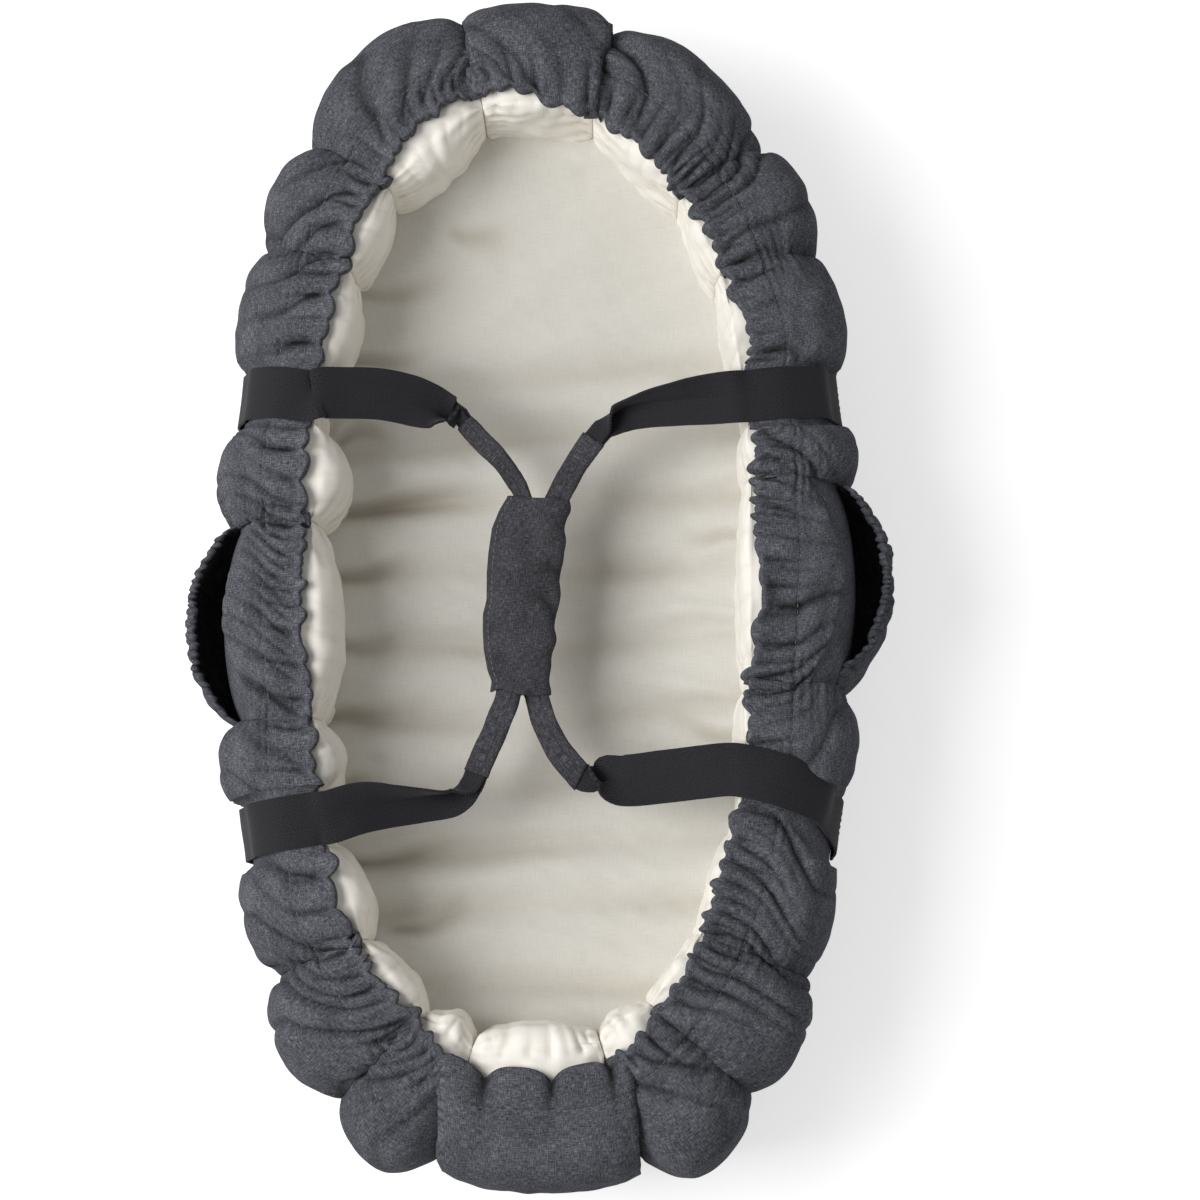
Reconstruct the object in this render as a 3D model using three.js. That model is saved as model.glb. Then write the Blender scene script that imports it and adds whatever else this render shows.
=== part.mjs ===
// Infant lounger: a stuffed nest in a gathered carrying cover, seen with its head end towards +Y.
// Lengths are millimetres, +X is to the right when looking down with the head end away, +Z is up.
// The origin is on the floor, under the middle of the lounger. An angle is in degrees.
import * as THREE from "three";

// Plan: the spine is the closed line that the bumper's stuffing follows
const SPINE_HALF_LENGTH = 380;
const SPINE_HALF_WIDTH = 193;
const SPINE_ROUNDNESS = 2.6;

// Bumper, measured square to the spine: along the sides, and at the head and foot
const SIDE_OUTER_REACH = 38;
const END_OUTER_REACH = 59;
const HEM_INSET = 30.5;
const HEM_CORNER_INSET = 8;
const SIDE_NEST_INSET = 46;
const END_NEST_INSET = 49;
const OUTER_SCALLOP = 14;
// What each lobe bulges beyond the even line, on the left from the head and on the right from the foot
const LEFT_LOBE_EXTRAS = [9, 2, 0, 0, 0, 1, 0, 9, 9];
const RIGHT_LOBE_EXTRAS = [11, 5, -4, -4, 0, 3, 3, 3, -7];
const STRAP_PULL_SHARE = 0.45;
const STRAP_PULL_REACH = 32;
const CUSP_DEPTH = 4;
const CROWN_HEIGHT = 181;
const CROWN_DIP = 13;
// The foot end is slimmer outside, most of all towards its left corner
const FOOT_DRAW = 13;
const FOOT_DRAW_POWER = 1.5;
const FOOT_DRAW_WAY = new THREE.Vector3(-0.35, -0.94, 0);
// The hem and the nest lie nearer the head, and the hem a little to the left
const HEM_SHIFT = new THREE.Vector3(-4.5, 12, 0);
const NEST_SHIFT = new THREE.Vector3(0, 19, 0);
// With one slimmer end the spine's middle lies this far towards the foot from the box's middle
const SPINE_MIDDLE_Y = -6;
const PILLOW_POWER = 0.55;
const FULL_PILLOW_LENGTH = 62;
const PANEL_POWER = 0.32;

// Section of a chamber as shares of its reach and height, from below the crown down the outside
const OUTER_SHARES = [[0.8, 0.93], [1, 0.72], [1, 0.4], [0.93, 0.12], [0.6, 0]];
// and from the inner foot up to the crown again
const INNER_SHARES = [[0.6, 0], [0.92, 0.2], [1, 0.5], [0.9, 0.78], [0.55, 0.94]];

// Seams between the chambers as shares of half the spine, counted from the head end
const LEFT_SEAM_SHARES = [0.047, 0.166, 0.244, 0.361, 0.45, 0.601, 0.675, 0.782, 0.871, 0.93];
const RIGHT_SEAM_SHARES = [0.047, 0.167, 0.249, 0.361, 0.417, 0.575, 0.67, 0.781, 0.861, 0.93];
const UPPER_STRAP_SEAM_INDEX = 3;
const LOWER_STRAP_SEAM_INDEX = 6;
const POCKET_CHAMBER_INDEX = 4;
const GATHER_PITCH = 16;

// Cloth of the cover and its elastic hem
const COVER_CLOTH = 1;
const STUFFING_EASE = 0.6;
const TOUCH_GAP = 0.3;
const ELASTIC_THICKNESS = 1;
const HEM_CASING_WIDTH = 26;
const HEM_FOLD_SHORT = 4;
const HEM_PLAY = 1.1;
const RUFFLE_LIFT = 2.6;
const RUFFLE_REACH = 3.4;
const FOLD_LIFT = 1.6;

// Underside, board and pad
const BASE_THICKNESS = 2;
const BASE_POINTS = 72;
const BOARD_THICKNESS = 3;
const BOARD_INSET = 6;
const PAD_CLEARANCE = 1.4;
const PAD_MIDDLE_TOP = 84;
const PAD_SIDE_TOP = 98;
const PAD_HEAD_TOP = 114;
const PAD_RISE_POWER = 3;
const PAD_RING_SHARES = [0.35, 0.66, 0.86];
// Outer rings as shares of the way out and of the pad's height
const PAD_EDGE_SHARES = [[0.95, 0.99], [0.985, 0.94], [1, 0.8], [1, 0.2], [0.97, 0]];
const PAD_FULLNESS = 0.75;
const PAD_CUSP_POWER = 6;
const WRINKLE_HEIGHT = 2.4;
const WRINKLE_PITCH = 74;

// Side pockets
const POCKET_DEPTH = 23;
const POCKET_TOP = 142;
const POCKET_CLOTH = 1;
const POCKET_FULLNESS = 0.6;
const POCKET_ROW_SHARES = [0, 0.62, 0.9, 1];
const POCKET_RIM_RADIUS = 3;
const POCKET_RIM_SIDES = 8;
const POCKET_RUFFLE = 1.2;

// Carrying straps
const STRAP_WIDTH = 38;
const STRAP_THICKNESS = 2;
const STRAP_CLEARANCE = 0.5;
const STRAP_BEND = 1.45;
const SHOULDER_DROP = 20;
const ANCHOR_LENGTH = 62;
const RIM_CLEAR_REACH = 46;
const GRIP_HEIGHT = 145;
const GRIP_SPACING = 17.6;
const GRIP_TILT = 28;
const GRIP_STRAIGHT_SHARE = 0.7;
// Way of each arm from the wrap's end to the rim: across, along and up, as shares, then its fold
const ARM_ROUTE_SHARES = [
  [0, 0.02, 0, 1],
  [0.07, 0.26, 0.02, 1],
  [0.24, 0.63, 0.1, 1],
  [0.38, 0.83, 0.25, 0.88],
  [0.62, 0.96, 0.52, 0.35],
];
const ARM_TILT_FOLD = 0.5;
const ROUTE_SPLITS = 2;
const SLEEVE_WALL = 0.8;
const SLEEVE_EASE = 0.5;
const SLEEVE_CORNER_SHARE = 0.55;

// Wrap that holds both grips together
const WRAP_LENGTH = 144;
const WRAP_MIDDLE_X = -8;
const WRAP_MIDDLE_Y = -10;
const WRAP_TURN = 5.9;
const WRAP_CLOTH = 1.5;
const WRAP_EASE = 1.2;
const WRAP_CROWN = 3;
const WRAP_STATIONS = 9;
const STRIP_WIDTH = 6;
const STRIP_THICKNESS = 1;
const STRIP_END_INSET = 6;

const UP = new THREE.Vector3(0, 0, 1);

// Finishes
const charcoal = () => new THREE.MeshStandardMaterial({ color: "#4b4c52", roughness: 0.92, metalness: 0 });
const blackWeb = () => new THREE.MeshStandardMaterial({ color: "#2e2e33", roughness: 0.85, metalness: 0 });
const creamCotton = () => new THREE.MeshStandardMaterial({ color: "#e6dfcf", roughness: 0.9, metalness: 0 });
const whiteElastic = () => new THREE.MeshStandardMaterial({ color: "#dcdcd8", roughness: 0.8, metalness: 0 });
const hookAndLoop = () => new THREE.MeshStandardMaterial({ color: "#232326", roughness: 0.95, metalness: 0 });
const greyBoard = () => new THREE.MeshStandardMaterial({ color: "#b9b4a6", roughness: 0.8, metalness: 0 });

const lounger = new THREE.Group();

function addPiece(name, geometry, material) {
  const piece = new THREE.Mesh(geometry, material);
  piece.name = name;
  lounger.add(piece);
}

// A closed oval in the floor plane, walked from the head end over the left side
class Oval extends THREE.Curve {
  getPoint(share, target = new THREE.Vector3()) {
    const angle = Math.PI / 2 + 2 * Math.PI * share;
    const bend = (value) => Math.sign(value) * Math.abs(value) ** (2 / SPINE_ROUNDNESS);
    const along = SPINE_MIDDLE_Y + SPINE_HALF_LENGTH * bend(Math.sin(angle));
    return target.set(SPINE_HALF_WIDTH * bend(Math.cos(angle)), along, 0);
  }
}
const spine = new Oval();
spine.arcLengthDivisions = 2000;
const HALF_SPINE = spine.getLength() / 2;

function outwardAt(point) {
  const y = point.y - SPINE_MIDDLE_Y;
  const across = (Math.abs(point.x) / SPINE_HALF_WIDTH) ** (SPINE_ROUNDNESS - 1) / SPINE_HALF_WIDTH;
  const along = (Math.abs(y) / SPINE_HALF_LENGTH) ** (SPINE_ROUNDNESS - 1) / SPINE_HALF_LENGTH;
  return new THREE.Vector3(Math.sign(point.x) * across, Math.sign(y) * along, 0).normalize();
}

// A station is an upright plane square to the spine, at a length walked from the head end
function stationAt(walked, swell, ridge = false) {
  const share = THREE.MathUtils.euclideanModulo(walked / (2 * HALF_SPINE), 1);
  const origin = spine.getPointAt(share);
  const across = outwardAt(origin);
  return { walked, origin, across, up: UP, swell, ridge };
}

// What the lobe at a walked length bulges beyond the even line; the head and foot lobes don't
function lobeExtra(walked) {
  const along = THREE.MathUtils.euclideanModulo(walked, 2 * HALF_SPINE);
  const left = leftSeams.findLastIndex((seam) => seam <= along);
  const right = rightSeams.findLastIndex((seam) => seam <= along);
  return RIGHT_LOBE_EXTRAS[right] ?? LEFT_LOBE_EXTRAS[left] ?? 0;
}

// How far the stuffing is drawn in at a station; the straps leave room for more of it at their seams
function pinchOf(station) {
  const pinch = 1 - station.swell;
  const strapped = strapSeams.some((seam) => Math.abs(seam - station.walked) < STRAP_PULL_REACH);
  return strapped ? Math.min(pinch, STRAP_PULL_SHARE) : pinch;
}

// The bumper's reach at a station, outward positive
function reachOf(station) {
  const { across } = station;
  const atEnd = across.y ** 2;
  const atCorner = (2 * across.x * across.y) ** 2;
  const pinch = pinchOf(station);
  const hem = HEM_SHIFT.dot(across) - HEM_INSET - HEM_CORNER_INSET * atCorner;
  const nest = NEST_SHIFT.dot(across) - THREE.MathUtils.lerp(SIDE_NEST_INSET, END_NEST_INSET, atEnd);
  const draw = FOOT_DRAW * Math.max(0, FOOT_DRAW_WAY.dot(across)) ** FOOT_DRAW_POWER;
  const fullOuter = THREE.MathUtils.lerp(SIDE_OUTER_REACH, END_OUTER_REACH, atEnd) - draw;
  return {
    hem,
    inner: THREE.MathUtils.lerp(hem - CUSP_DEPTH, nest, station.swell),
    outer: fullOuter - OUTER_SCALLOP * pinch + lobeExtra(station.walked) * station.swell,
    base: fullOuter - OUTER_SCALLOP,
    top: CROWN_HEIGHT - CROWN_DIP * pinch,
  };
}

// Splits each span of a sweep along the same diagonal, so that faces which follow each other stay parallel
function runsOutward(outline, edge, next) {
  return outline[edge].x - outline[edge].y <= outline[next].x - outline[next].y;
}

// Sweeps an outline through the stations; the end caps pair its first half with its reversed second half
function sweep(stations, outlines, closed = false) {
  const size = outlines[0].length;
  const corners = [];
  stations.forEach((station, index) => {
    for (const place of outlines[index]) {
      const corner = station.origin.clone();
      corner.addScaledVector(station.across, place.x).addScaledVector(station.up, place.y);
      corners.push(corner);
    }
  });
  const faces = [];
  const spans = closed ? stations.length : stations.length - 1;
  for (let span = 0; span < spans; span++) {
    const here = span * size;
    const there = ((span + 1) % stations.length) * size;
    for (let edge = 0; edge < size; edge++) {
      const next = (edge + 1) % size;
      if (runsOutward(outlines[span], edge, next)) {
        faces.push([here + edge, there + edge, there + next], [here + edge, there + next, here + next]);
      } else {
        faces.push([here + edge, there + edge, here + next], [there + edge, there + next, here + next]);
      }
    }
  }
  if (!closed) {
    const end = (stations.length - 1) * size;
    for (let pair = 0; pair < size / 2 - 1; pair++) {
      const far = size - 1 - pair;
      faces.push([pair, pair + 1, far - 1], [pair, far - 1, far]);
      faces.push([end + pair + 1, end + pair, end + far - 1], [end + far - 1, end + pair, end + far]);
    }
  }
  return closedSolid(corners, faces);
}

// Sweeps a ring outline, an outer and an inner loop of as many points, into an open tube
function sweepTube(stations, outerLoops, innerLoops) {
  const size = outerLoops[0].length;
  const corners = [];
  stations.forEach((station, index) => {
    for (const place of [...outerLoops[index], ...innerLoops[index]]) {
      const corner = station.origin.clone();
      corner.addScaledVector(station.across, place.x).addScaledVector(station.up, place.y);
      corners.push(corner);
    }
  });
  const ring = 2 * size;
  const end = (stations.length - 1) * ring;
  const faces = [];
  for (let edge = 0; edge < size; edge++) {
    const next = (edge + 1) % size;
    for (let here = 0; here < end; here += ring) {
      const there = here + ring;
      faces.push([here + edge, there + edge, there + next], [here + edge, there + next, here + next]);
      faces.push([here + size + next, there + size + next, there + size + edge]);
      faces.push([here + size + next, there + size + edge, here + size + edge]);
    }
    faces.push([edge, next, size + next], [edge, size + next, size + edge]);
    faces.push([end + next, end + edge, end + size + edge]);
    faces.push([end + next, end + size + edge, end + size + next]);
  }
  return closedSolid(corners, faces);
}

// Makes the geometry with its faces turned outward
function closedSolid(corners, faces) {
  let volume = 0;
  for (const [a, b, c] of faces) {
    volume += corners[a].dot(new THREE.Vector3().crossVectors(corners[b], corners[c]));
  }
  const outward = volume > 0 ? faces : faces.map(([a, b, c]) => [a, c, b]);
  const geometry = new THREE.BufferGeometry();
  const coordinates = corners.flatMap((corner) => corner.toArray());
  geometry.setAttribute("position", new THREE.Float32BufferAttribute(coordinates, 3));
  geometry.setIndex(outward.flat());
  geometry.computeVertexNormals();
  return geometry;
}

// Seams and chambers, in the order of the walk: head, left side, foot, right side
const leftSeams = LEFT_SEAM_SHARES.map((share) => share * HALF_SPINE);
const rightSeams = RIGHT_SEAM_SHARES.map((share) => (2 - share) * HALF_SPINE).reverse();
const rightIndex = (seam) => RIGHT_SEAM_SHARES.length - 1 - seam;
const strapSeams = [
  leftSeams[UPPER_STRAP_SEAM_INDEX],
  leftSeams[LOWER_STRAP_SEAM_INDEX],
  rightSeams[rightIndex(UPPER_STRAP_SEAM_INDEX)],
  rightSeams[rightIndex(LOWER_STRAP_SEAM_INDEX)],
];
const STRAP_FLAT = STRAP_WIDTH / 2 + STRAP_CLEARANCE;

// Stations of one chamber; under a strap the stuffing stays pinched flat for half the strap's width
function chamberStations(start, end, power) {
  const leadFlat = strapSeams.includes(start) ? STRAP_FLAT : 0;
  const tailFlat = strapSeams.includes(end) ? STRAP_FLAT : 0;
  const full = end - start - leadFlat - tailFlat;
  const steps = 2 * Math.max(2, Math.round(full / GATHER_PITCH / 2));
  const fullness = Math.min(1, Math.sqrt(full / FULL_PILLOW_LENGTH));
  const stations = leadFlat ? [stationAt(start, 0)] : [];
  for (let step = 0; step <= steps; step++) {
    const swell = fullness * Math.abs(Math.sin((Math.PI * step) / steps)) ** power;
    const pinched = step === 0 || step === steps;
    stations.push(stationAt(start + leadFlat + (full * step) / steps, pinched ? 0 : swell, step % 2 === 1));
  }
  return tailFlat ? [...stations, stationAt(end, 0)] : stations;
}

function chambersBetween(seams, label) {
  return seams.slice(0, -1).map((seam, index) => {
    return { name: `${label}_${index + 1}`, stations: chamberStations(seam, seams[index + 1], PILLOW_POWER) };
  });
}

const headChamber = {
  name: "bumper_head",
  stations: chamberStations(rightSeams.at(-1), 2 * HALF_SPINE + leftSeams[0], PANEL_POWER),
};
const footChamber = {
  name: "bumper_foot",
  stations: chamberStations(leftSeams.at(-1), rightSeams[0], PANEL_POWER),
};
for (const station of [...headChamber.stations, ...footChamber.stations]) {
  station.ridge = false;
}
const leftChambers = chambersBetween(leftSeams, "bumper_left");
const rightChambers = chambersBetween(rightSeams, "bumper_right");

// Draws the two ends of a run of stations in by half a seam's gap
function withSeamGap(stations) {
  const first = stations[0];
  const last = stations.at(-1);
  return [
    stationAt(first.walked + TOUCH_GAP / 2, first.swell),
    ...stations.slice(1, -1),
    stationAt(last.walked - TOUCH_GAP / 2, last.swell),
  ];
}

const BUMPER_FOOT = BASE_THICKNESS + TOUCH_GAP;

function sectionPoint(reach, [acrossShare, upShare], edge) {
  const across = THREE.MathUtils.lerp(reach.hem, edge, acrossShare);
  return new THREE.Vector2(across, THREE.MathUtils.lerp(BUMPER_FOOT, reach.top, upShare));
}

function outerLine(station) {
  const reach = reachOf(station);
  const crown = new THREE.Vector2(reach.hem, reach.top);
  const casing = new THREE.Vector2(reach.hem + HEM_CASING_WIDTH, reach.top);
  return [crown, casing, ...OUTER_SHARES.map((shares) => sectionPoint(reach, shares, reach.outer))];
}

function chamberOutline(station) {
  const reach = reachOf(station);
  const inner = INNER_SHARES.map((shares) => sectionPoint(reach, shares, reach.inner));
  return [...outerLine(station), ...inner];
}

// Moves each inner point of a line sideways by a distance, square to the line at that point
function offsetLine(line, distance) {
  return line.map((point, index) => {
    const before = line[Math.max(index - 1, 0)];
    const after = line[Math.min(index + 1, line.length - 1)];
    const run = after.clone().sub(before).normalize();
    return new THREE.Vector2(point.x - run.y * distance, point.y + run.x * distance);
  });
}

// The cover's skin at a station: both faces from the base up over the crown, with the hem folded under
const HEM_SLOT = ELASTIC_THICKNESS + TOUCH_GAP + HEM_PLAY;
const HEM_LIFT = STUFFING_EASE + 2 * COVER_CLOTH + HEM_SLOT;
const SKIN_ROWS = [2, 3, 4, 5];

function skinFace(station, distance) {
  const line = outerLine(station);
  const fold = station.ridge ? FOLD_LIFT : 0;
  const moved = offsetLine(line, distance + fold);
  const low = offsetLine(line, distance);
  return [moved[2], moved[3], moved[4], low[5]];
}

function coverOutline(station) {
  const reach = reachOf(station);
  const [, crownEdge] = outerLine(station);
  const rise = station.ridge ? RUFFLE_LIFT : 0;
  const out = station.ridge ? RUFFLE_REACH : 0;
  const topFace = reach.top + HEM_LIFT + rise;
  const slotTop = topFace - COVER_CLOTH;
  const underFace = reach.top + STUFFING_EASE;
  const slotFloor = underFace + COVER_CLOTH;
  const hemEdge = reach.hem - out;
  const foldEnd = crownEdge.x - HEM_FOLD_SHORT;
  const foot = BUMPER_FOOT;
  const outside = [
    new THREE.Vector2(reach.base, foot),
    ...skinFace(station, STUFFING_EASE + COVER_CLOTH).reverse(),
    new THREE.Vector2(crownEdge.x, topFace),
    new THREE.Vector2(hemEdge, topFace),
    new THREE.Vector2(reach.hem, underFace),
    new THREE.Vector2(foldEnd, underFace),
  ];
  const inside = [
    new THREE.Vector2(reach.base - COVER_CLOTH, foot),
    ...skinFace(station, STUFFING_EASE).reverse(),
    new THREE.Vector2(crownEdge.x, slotTop),
    new THREE.Vector2(hemEdge + COVER_CLOTH, slotTop),
    new THREE.Vector2(reach.hem + COVER_CLOTH, slotFloor),
    new THREE.Vector2(foldEnd, slotFloor),
  ];
  return [...outside, ...inside.reverse()];
}

// The skin's outer face as a line, from the hem down to the base
function skinLine(station) {
  const reach = reachOf(station);
  const outline = coverOutline({ ...station, ridge: false });
  const rows = outline.slice(1, SKIN_ROWS.length + 3).reverse();
  return [...rows, new THREE.Vector2(reach.base, BUMPER_FOOT)];
}

// The skin's outward place at a height on its outer wall
function skinAcross(station, height) {
  const line = skinLine(station).slice(1);
  const lower = line.findIndex((point) => point.y <= height);
  const above = line[lower - 1];
  const below = line[lower];
  const share = (above.y - height) / (above.y - below.y);
  return THREE.MathUtils.lerp(above.x, below.x, share);
}

function addChamber(chamber) {
  const stations = withSeamGap(chamber.stations);
  addPiece(chamber.name, sweep(stations, stations.map(chamberOutline)), creamCotton());
}

function joinedStations(chambers) {
  return chambers.flatMap((chamber, index) => (index ? chamber.stations.slice(1) : chamber.stations));
}

function addCoverPanel(name, chambers) {
  const stations = withSeamGap(joinedStations(chambers));
  addPiece(name, sweep(stations, stations.map(coverOutline)), charcoal());
}

// Every station once round, without the last one, which is the first again
function allStations() {
  return joinedStations([headChamber, ...leftChambers, footChamber, ...rightChambers]).slice(0, -1);
}

function addElastic() {
  const around = allStations();
  const outlines = around.map((station) => {
    const reach = reachOf(station);
    const [, crownEdge] = outerLine(station);
    const bottom = reach.top + STUFFING_EASE + COVER_CLOTH + TOUCH_GAP;
    const inner = reach.hem + COVER_CLOTH + TOUCH_GAP;
    const outer = crownEdge.x - HEM_FOLD_SHORT;
    return [
      new THREE.Vector2(inner, bottom),
      new THREE.Vector2(outer, bottom),
      new THREE.Vector2(outer, bottom + ELASTIC_THICKNESS),
      new THREE.Vector2(inner, bottom + ELASTIC_THICKNESS),
    ];
  });
  addPiece("hem_elastic", sweep(around, outlines, true), whiteElastic());
}

// Flat plates: the outline follows the spine at a reach that the station gives
function plateShape(reachAt) {
  const points = [];
  for (let index = 0; index < BASE_POINTS; index++) {
    const station = stationAt((2 * HALF_SPINE * index) / BASE_POINTS, 1);
    const corner = station.origin.clone().addScaledVector(station.across, reachAt(reachOf(station)));
    points.push(new THREE.Vector2(corner.x, corner.y));
  }
  return new THREE.Shape(points);
}

function addPlate(name, reachAt, floor, thickness, material) {
  const geometry = new THREE.ExtrudeGeometry(plateShape(reachAt), { depth: thickness, bevelEnabled: false });
  geometry.translate(0, 0, floor);
  addPiece(name, geometry, material);
}

// Pad that fills the nest: a shallow bowl with a rounded edge and wrinkles that run in from both sides
function addPad() {
  const floor = BUMPER_FOOT + BOARD_THICKNESS + TOUCH_GAP;
  const around = allStations();
  const middle = new THREE.Vector3(0, SPINE_MIDDLE_Y, 0);
  const rimAt = (station) => {
    return station.origin.clone().addScaledVector(station.across, reachOf(station).inner - PAD_CLEARANCE);
  };
  const scalloped = around.map((station) => rimAt(station));
  const smooth = around.map((station) => rimAt(stationAt(station.walked, PAD_FULLNESS)));
  const edgeTop = around.map(({ across }) => {
    return THREE.MathUtils.lerp(PAD_SIDE_TOP, PAD_HEAD_TOP, Math.max(0, across.y) ** 2);
  });
  const cornerAt = (index, share, heightShare) => {
    const corner = smooth[index].clone().lerp(scalloped[index], share ** PAD_CUSP_POWER);
    corner.sub(middle).multiplyScalar(share).add(middle);
    const wave = Math.sin((2 * Math.PI * corner.y) / WRINKLE_PITCH);
    const wrinkle = WRINKLE_HEIGHT * wave * share * Math.abs(around[index].across.x);
    const top = THREE.MathUtils.lerp(PAD_MIDDLE_TOP, edgeTop[index], share ** PAD_RISE_POWER) + wrinkle;
    return corner.setZ(THREE.MathUtils.lerp(floor, top, heightShare));
  };
  const rings = [...PAD_RING_SHARES.map((share) => [share, 1]), ...PAD_EDGE_SHARES];
  const corners = [middle.clone().setZ(PAD_MIDDLE_TOP)];
  for (const [share, heightShare] of rings) {
    around.forEach((station, index) => corners.push(cornerAt(index, share, heightShare)));
  }
  corners.push(middle.clone().setZ(floor));
  const faces = [];
  const spokes = around.length;
  const lastRing = 1 + (rings.length - 1) * spokes;
  for (let spoke = 0; spoke < spokes; spoke++) {
    const next = (spoke + 1) % spokes;
    faces.push([0, 1 + spoke, 1 + next]);
    for (let ring = 1; ring < lastRing; ring += spokes) {
      const outer = ring + spokes;
      faces.push([ring + spoke, outer + spoke, outer + next], [ring + spoke, outer + next, ring + next]);
    }
    faces.push([lastRing + next, lastRing + spoke, corners.length - 1]);
  }
  addPiece("sleeping_pad", closedSolid(corners, faces), creamCotton());
}

// Pocket stations lie twice as close as the chamber's, so its gathered rim can ripple
function pocketStations(chamber) {
  const [first, last] = [chamber.stations[0], chamber.stations.at(-1)];
  const steps = 2 * (chamber.stations.length - 1);
  const length = last.walked - first.walked;
  const stations = [];
  for (let step = 0; step <= steps; step++) {
    const share = step / steps;
    const bow = Math.abs(Math.sin(Math.PI * share));
    const pinched = step === 0 || step === steps;
    const station = stationAt(first.walked + length * share, pinched ? 0 : bow ** PILLOW_POWER);
    station.bow = pinched ? 0 : bow ** POCKET_FULLNESS;
    station.ripple = step % 2 ? POCKET_RUFFLE : 0;
    stations.push(station);
  }
  return stations;
}

function pocketLine(station, thickness) {
  const heights = skinLine(station).slice(2).map((point) => point.y);
  const foot = heights.at(-2);
  return POCKET_ROW_SHARES.map((rowShare) => {
    const height = THREE.MathUtils.lerp(foot, POCKET_TOP, rowShare ** 2);
    const depth = POCKET_DEPTH * station.bow * Math.sin((Math.PI / 2) * rowShare);
    const wall = skinAcross(station, height) + FOLD_LIFT + STRAP_CLEARANCE;
    return new THREE.Vector2(wall + depth + thickness, height);
  });
}

function addPocket(side, chamber) {
  const stations = pocketStations(chamber);
  const outlines = stations.map((station) => {
    return [...pocketLine(station, POCKET_CLOTH), ...pocketLine(station, 0).reverse()];
  });
  addPiece(`${side}_pocket`, sweep(stations, outlines), charcoal());
  const rims = stations.map((station) => {
    const wall = skinAcross(station, POCKET_TOP) + FOLD_LIFT + STRAP_CLEARANCE;
    const beyond = Math.max(POCKET_RIM_RADIUS + POCKET_RUFFLE, POCKET_DEPTH * station.bow + POCKET_CLOTH / 2);
    const across = wall + beyond;
    const height = POCKET_TOP + TOUCH_GAP + POCKET_RIM_RADIUS + POCKET_RUFFLE;
    const radius = POCKET_RIM_RADIUS + station.ripple;
    const loop = [];
    for (let corner = 0; corner < POCKET_RIM_SIDES; corner++) {
      const angle = (Math.PI * (2 * corner + 1)) / POCKET_RIM_SIDES;
      loop.push(new THREE.Vector2(across + radius * Math.cos(angle), height + radius * Math.sin(angle)));
    }
    return loop;
  });
  addPiece(`${side}_pocket_rim`, sweep(stations, rims), charcoal());
}

// The strap's way over the bumper at its seam, in the seam's plane: outward and up
const SHOULDER_HEIGHT = CROWN_HEIGHT - CROWN_DIP - SHOULDER_DROP;
const STRAP_OFFSET = STRAP_CLEARANCE + STRAP_THICKNESS / 2;

function rimWay(station) {
  const [hem, crown, shoulder] = skinLine(station);
  const skinThere = skinAcross(station, SHOULDER_HEIGHT);
  const inward = hem.x - RIM_CLEAR_REACH;
  const level = hem.y + STRAP_OFFSET;
  return [
    new THREE.Vector2(skinThere + STRAP_OFFSET, SHOULDER_HEIGHT),
    new THREE.Vector2(shoulder.x + STRAP_OFFSET, shoulder.y + STRAP_OFFSET),
    new THREE.Vector2(crown.x, crown.y + STRAP_OFFSET),
    new THREE.Vector2(hem.x, level),
    new THREE.Vector2(inward, level - STRAP_THICKNESS),
  ];
}

function placeIn(station, point) {
  const place = station.origin.clone();
  return place.addScaledVector(station.across, point.x).addScaledVector(UP, point.y);
}

// The wrap and the grips lie a little turned from the lounger's length
const wrapTurn = THREE.MathUtils.degToRad(WRAP_TURN);
const wrapMiddle = new THREE.Vector3(WRAP_MIDDLE_X, WRAP_MIDDLE_Y, 0);
const wrapAcross = new THREE.Vector3(Math.cos(wrapTurn), -Math.sin(wrapTurn), 0);
const wrapAlong = new THREE.Vector3(Math.sin(wrapTurn), Math.cos(wrapTurn), 0);
const gripTilt = THREE.MathUtils.degToRad(GRIP_TILT);
const gripGuide = UP.clone().applyAxisAngle(wrapAlong, -gripTilt);

function wrapPlace(across, along, height) {
  const place = wrapMiddle.clone().addScaledVector(wrapAcross, across);
  return place.addScaledVector(wrapAlong, along).setZ(height);
}

// Centre line of one handle, with the strap's fold and its outward guide at each point
function handleRoute(upperSeam, lowerSeam, gripAcross) {
  const armOf = (seam, towards) => {
    const station = stationAt(seam, 0);
    const rim = rimWay(station).map((point) => placeIn(station, point));
    const guide = station.across.clone().add(UP);
    const arm = rim.map((place) => ({ place, guide, fold: 0 }));
    const end = rim.at(-1);
    const wrapEnd = (towards * WRAP_LENGTH) / 2;
    const leaving = wrapPlace(gripAcross, wrapEnd, GRIP_HEIGHT);
    for (const [across, along, up, fold] of [...ARM_ROUTE_SHARES].reverse()) {
      const place = new THREE.Vector3(
        THREE.MathUtils.lerp(leaving.x, end.x, across),
        THREE.MathUtils.lerp(leaving.y, end.y, along),
        THREE.MathUtils.lerp(leaving.z, end.z, up),
      );
      arm.push({ place, guide: fold > ARM_TILT_FOLD ? gripGuide : UP, fold });
    }
    const held = wrapPlace(gripAcross, wrapEnd * GRIP_STRAIGHT_SHARE, GRIP_HEIGHT);
    arm.push({ place: held, guide: gripGuide, fold: 1 });
    return arm;
  };
  return [...armOf(upperSeam, 1), ...armOf(lowerSeam, -1).reverse()];
}

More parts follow.
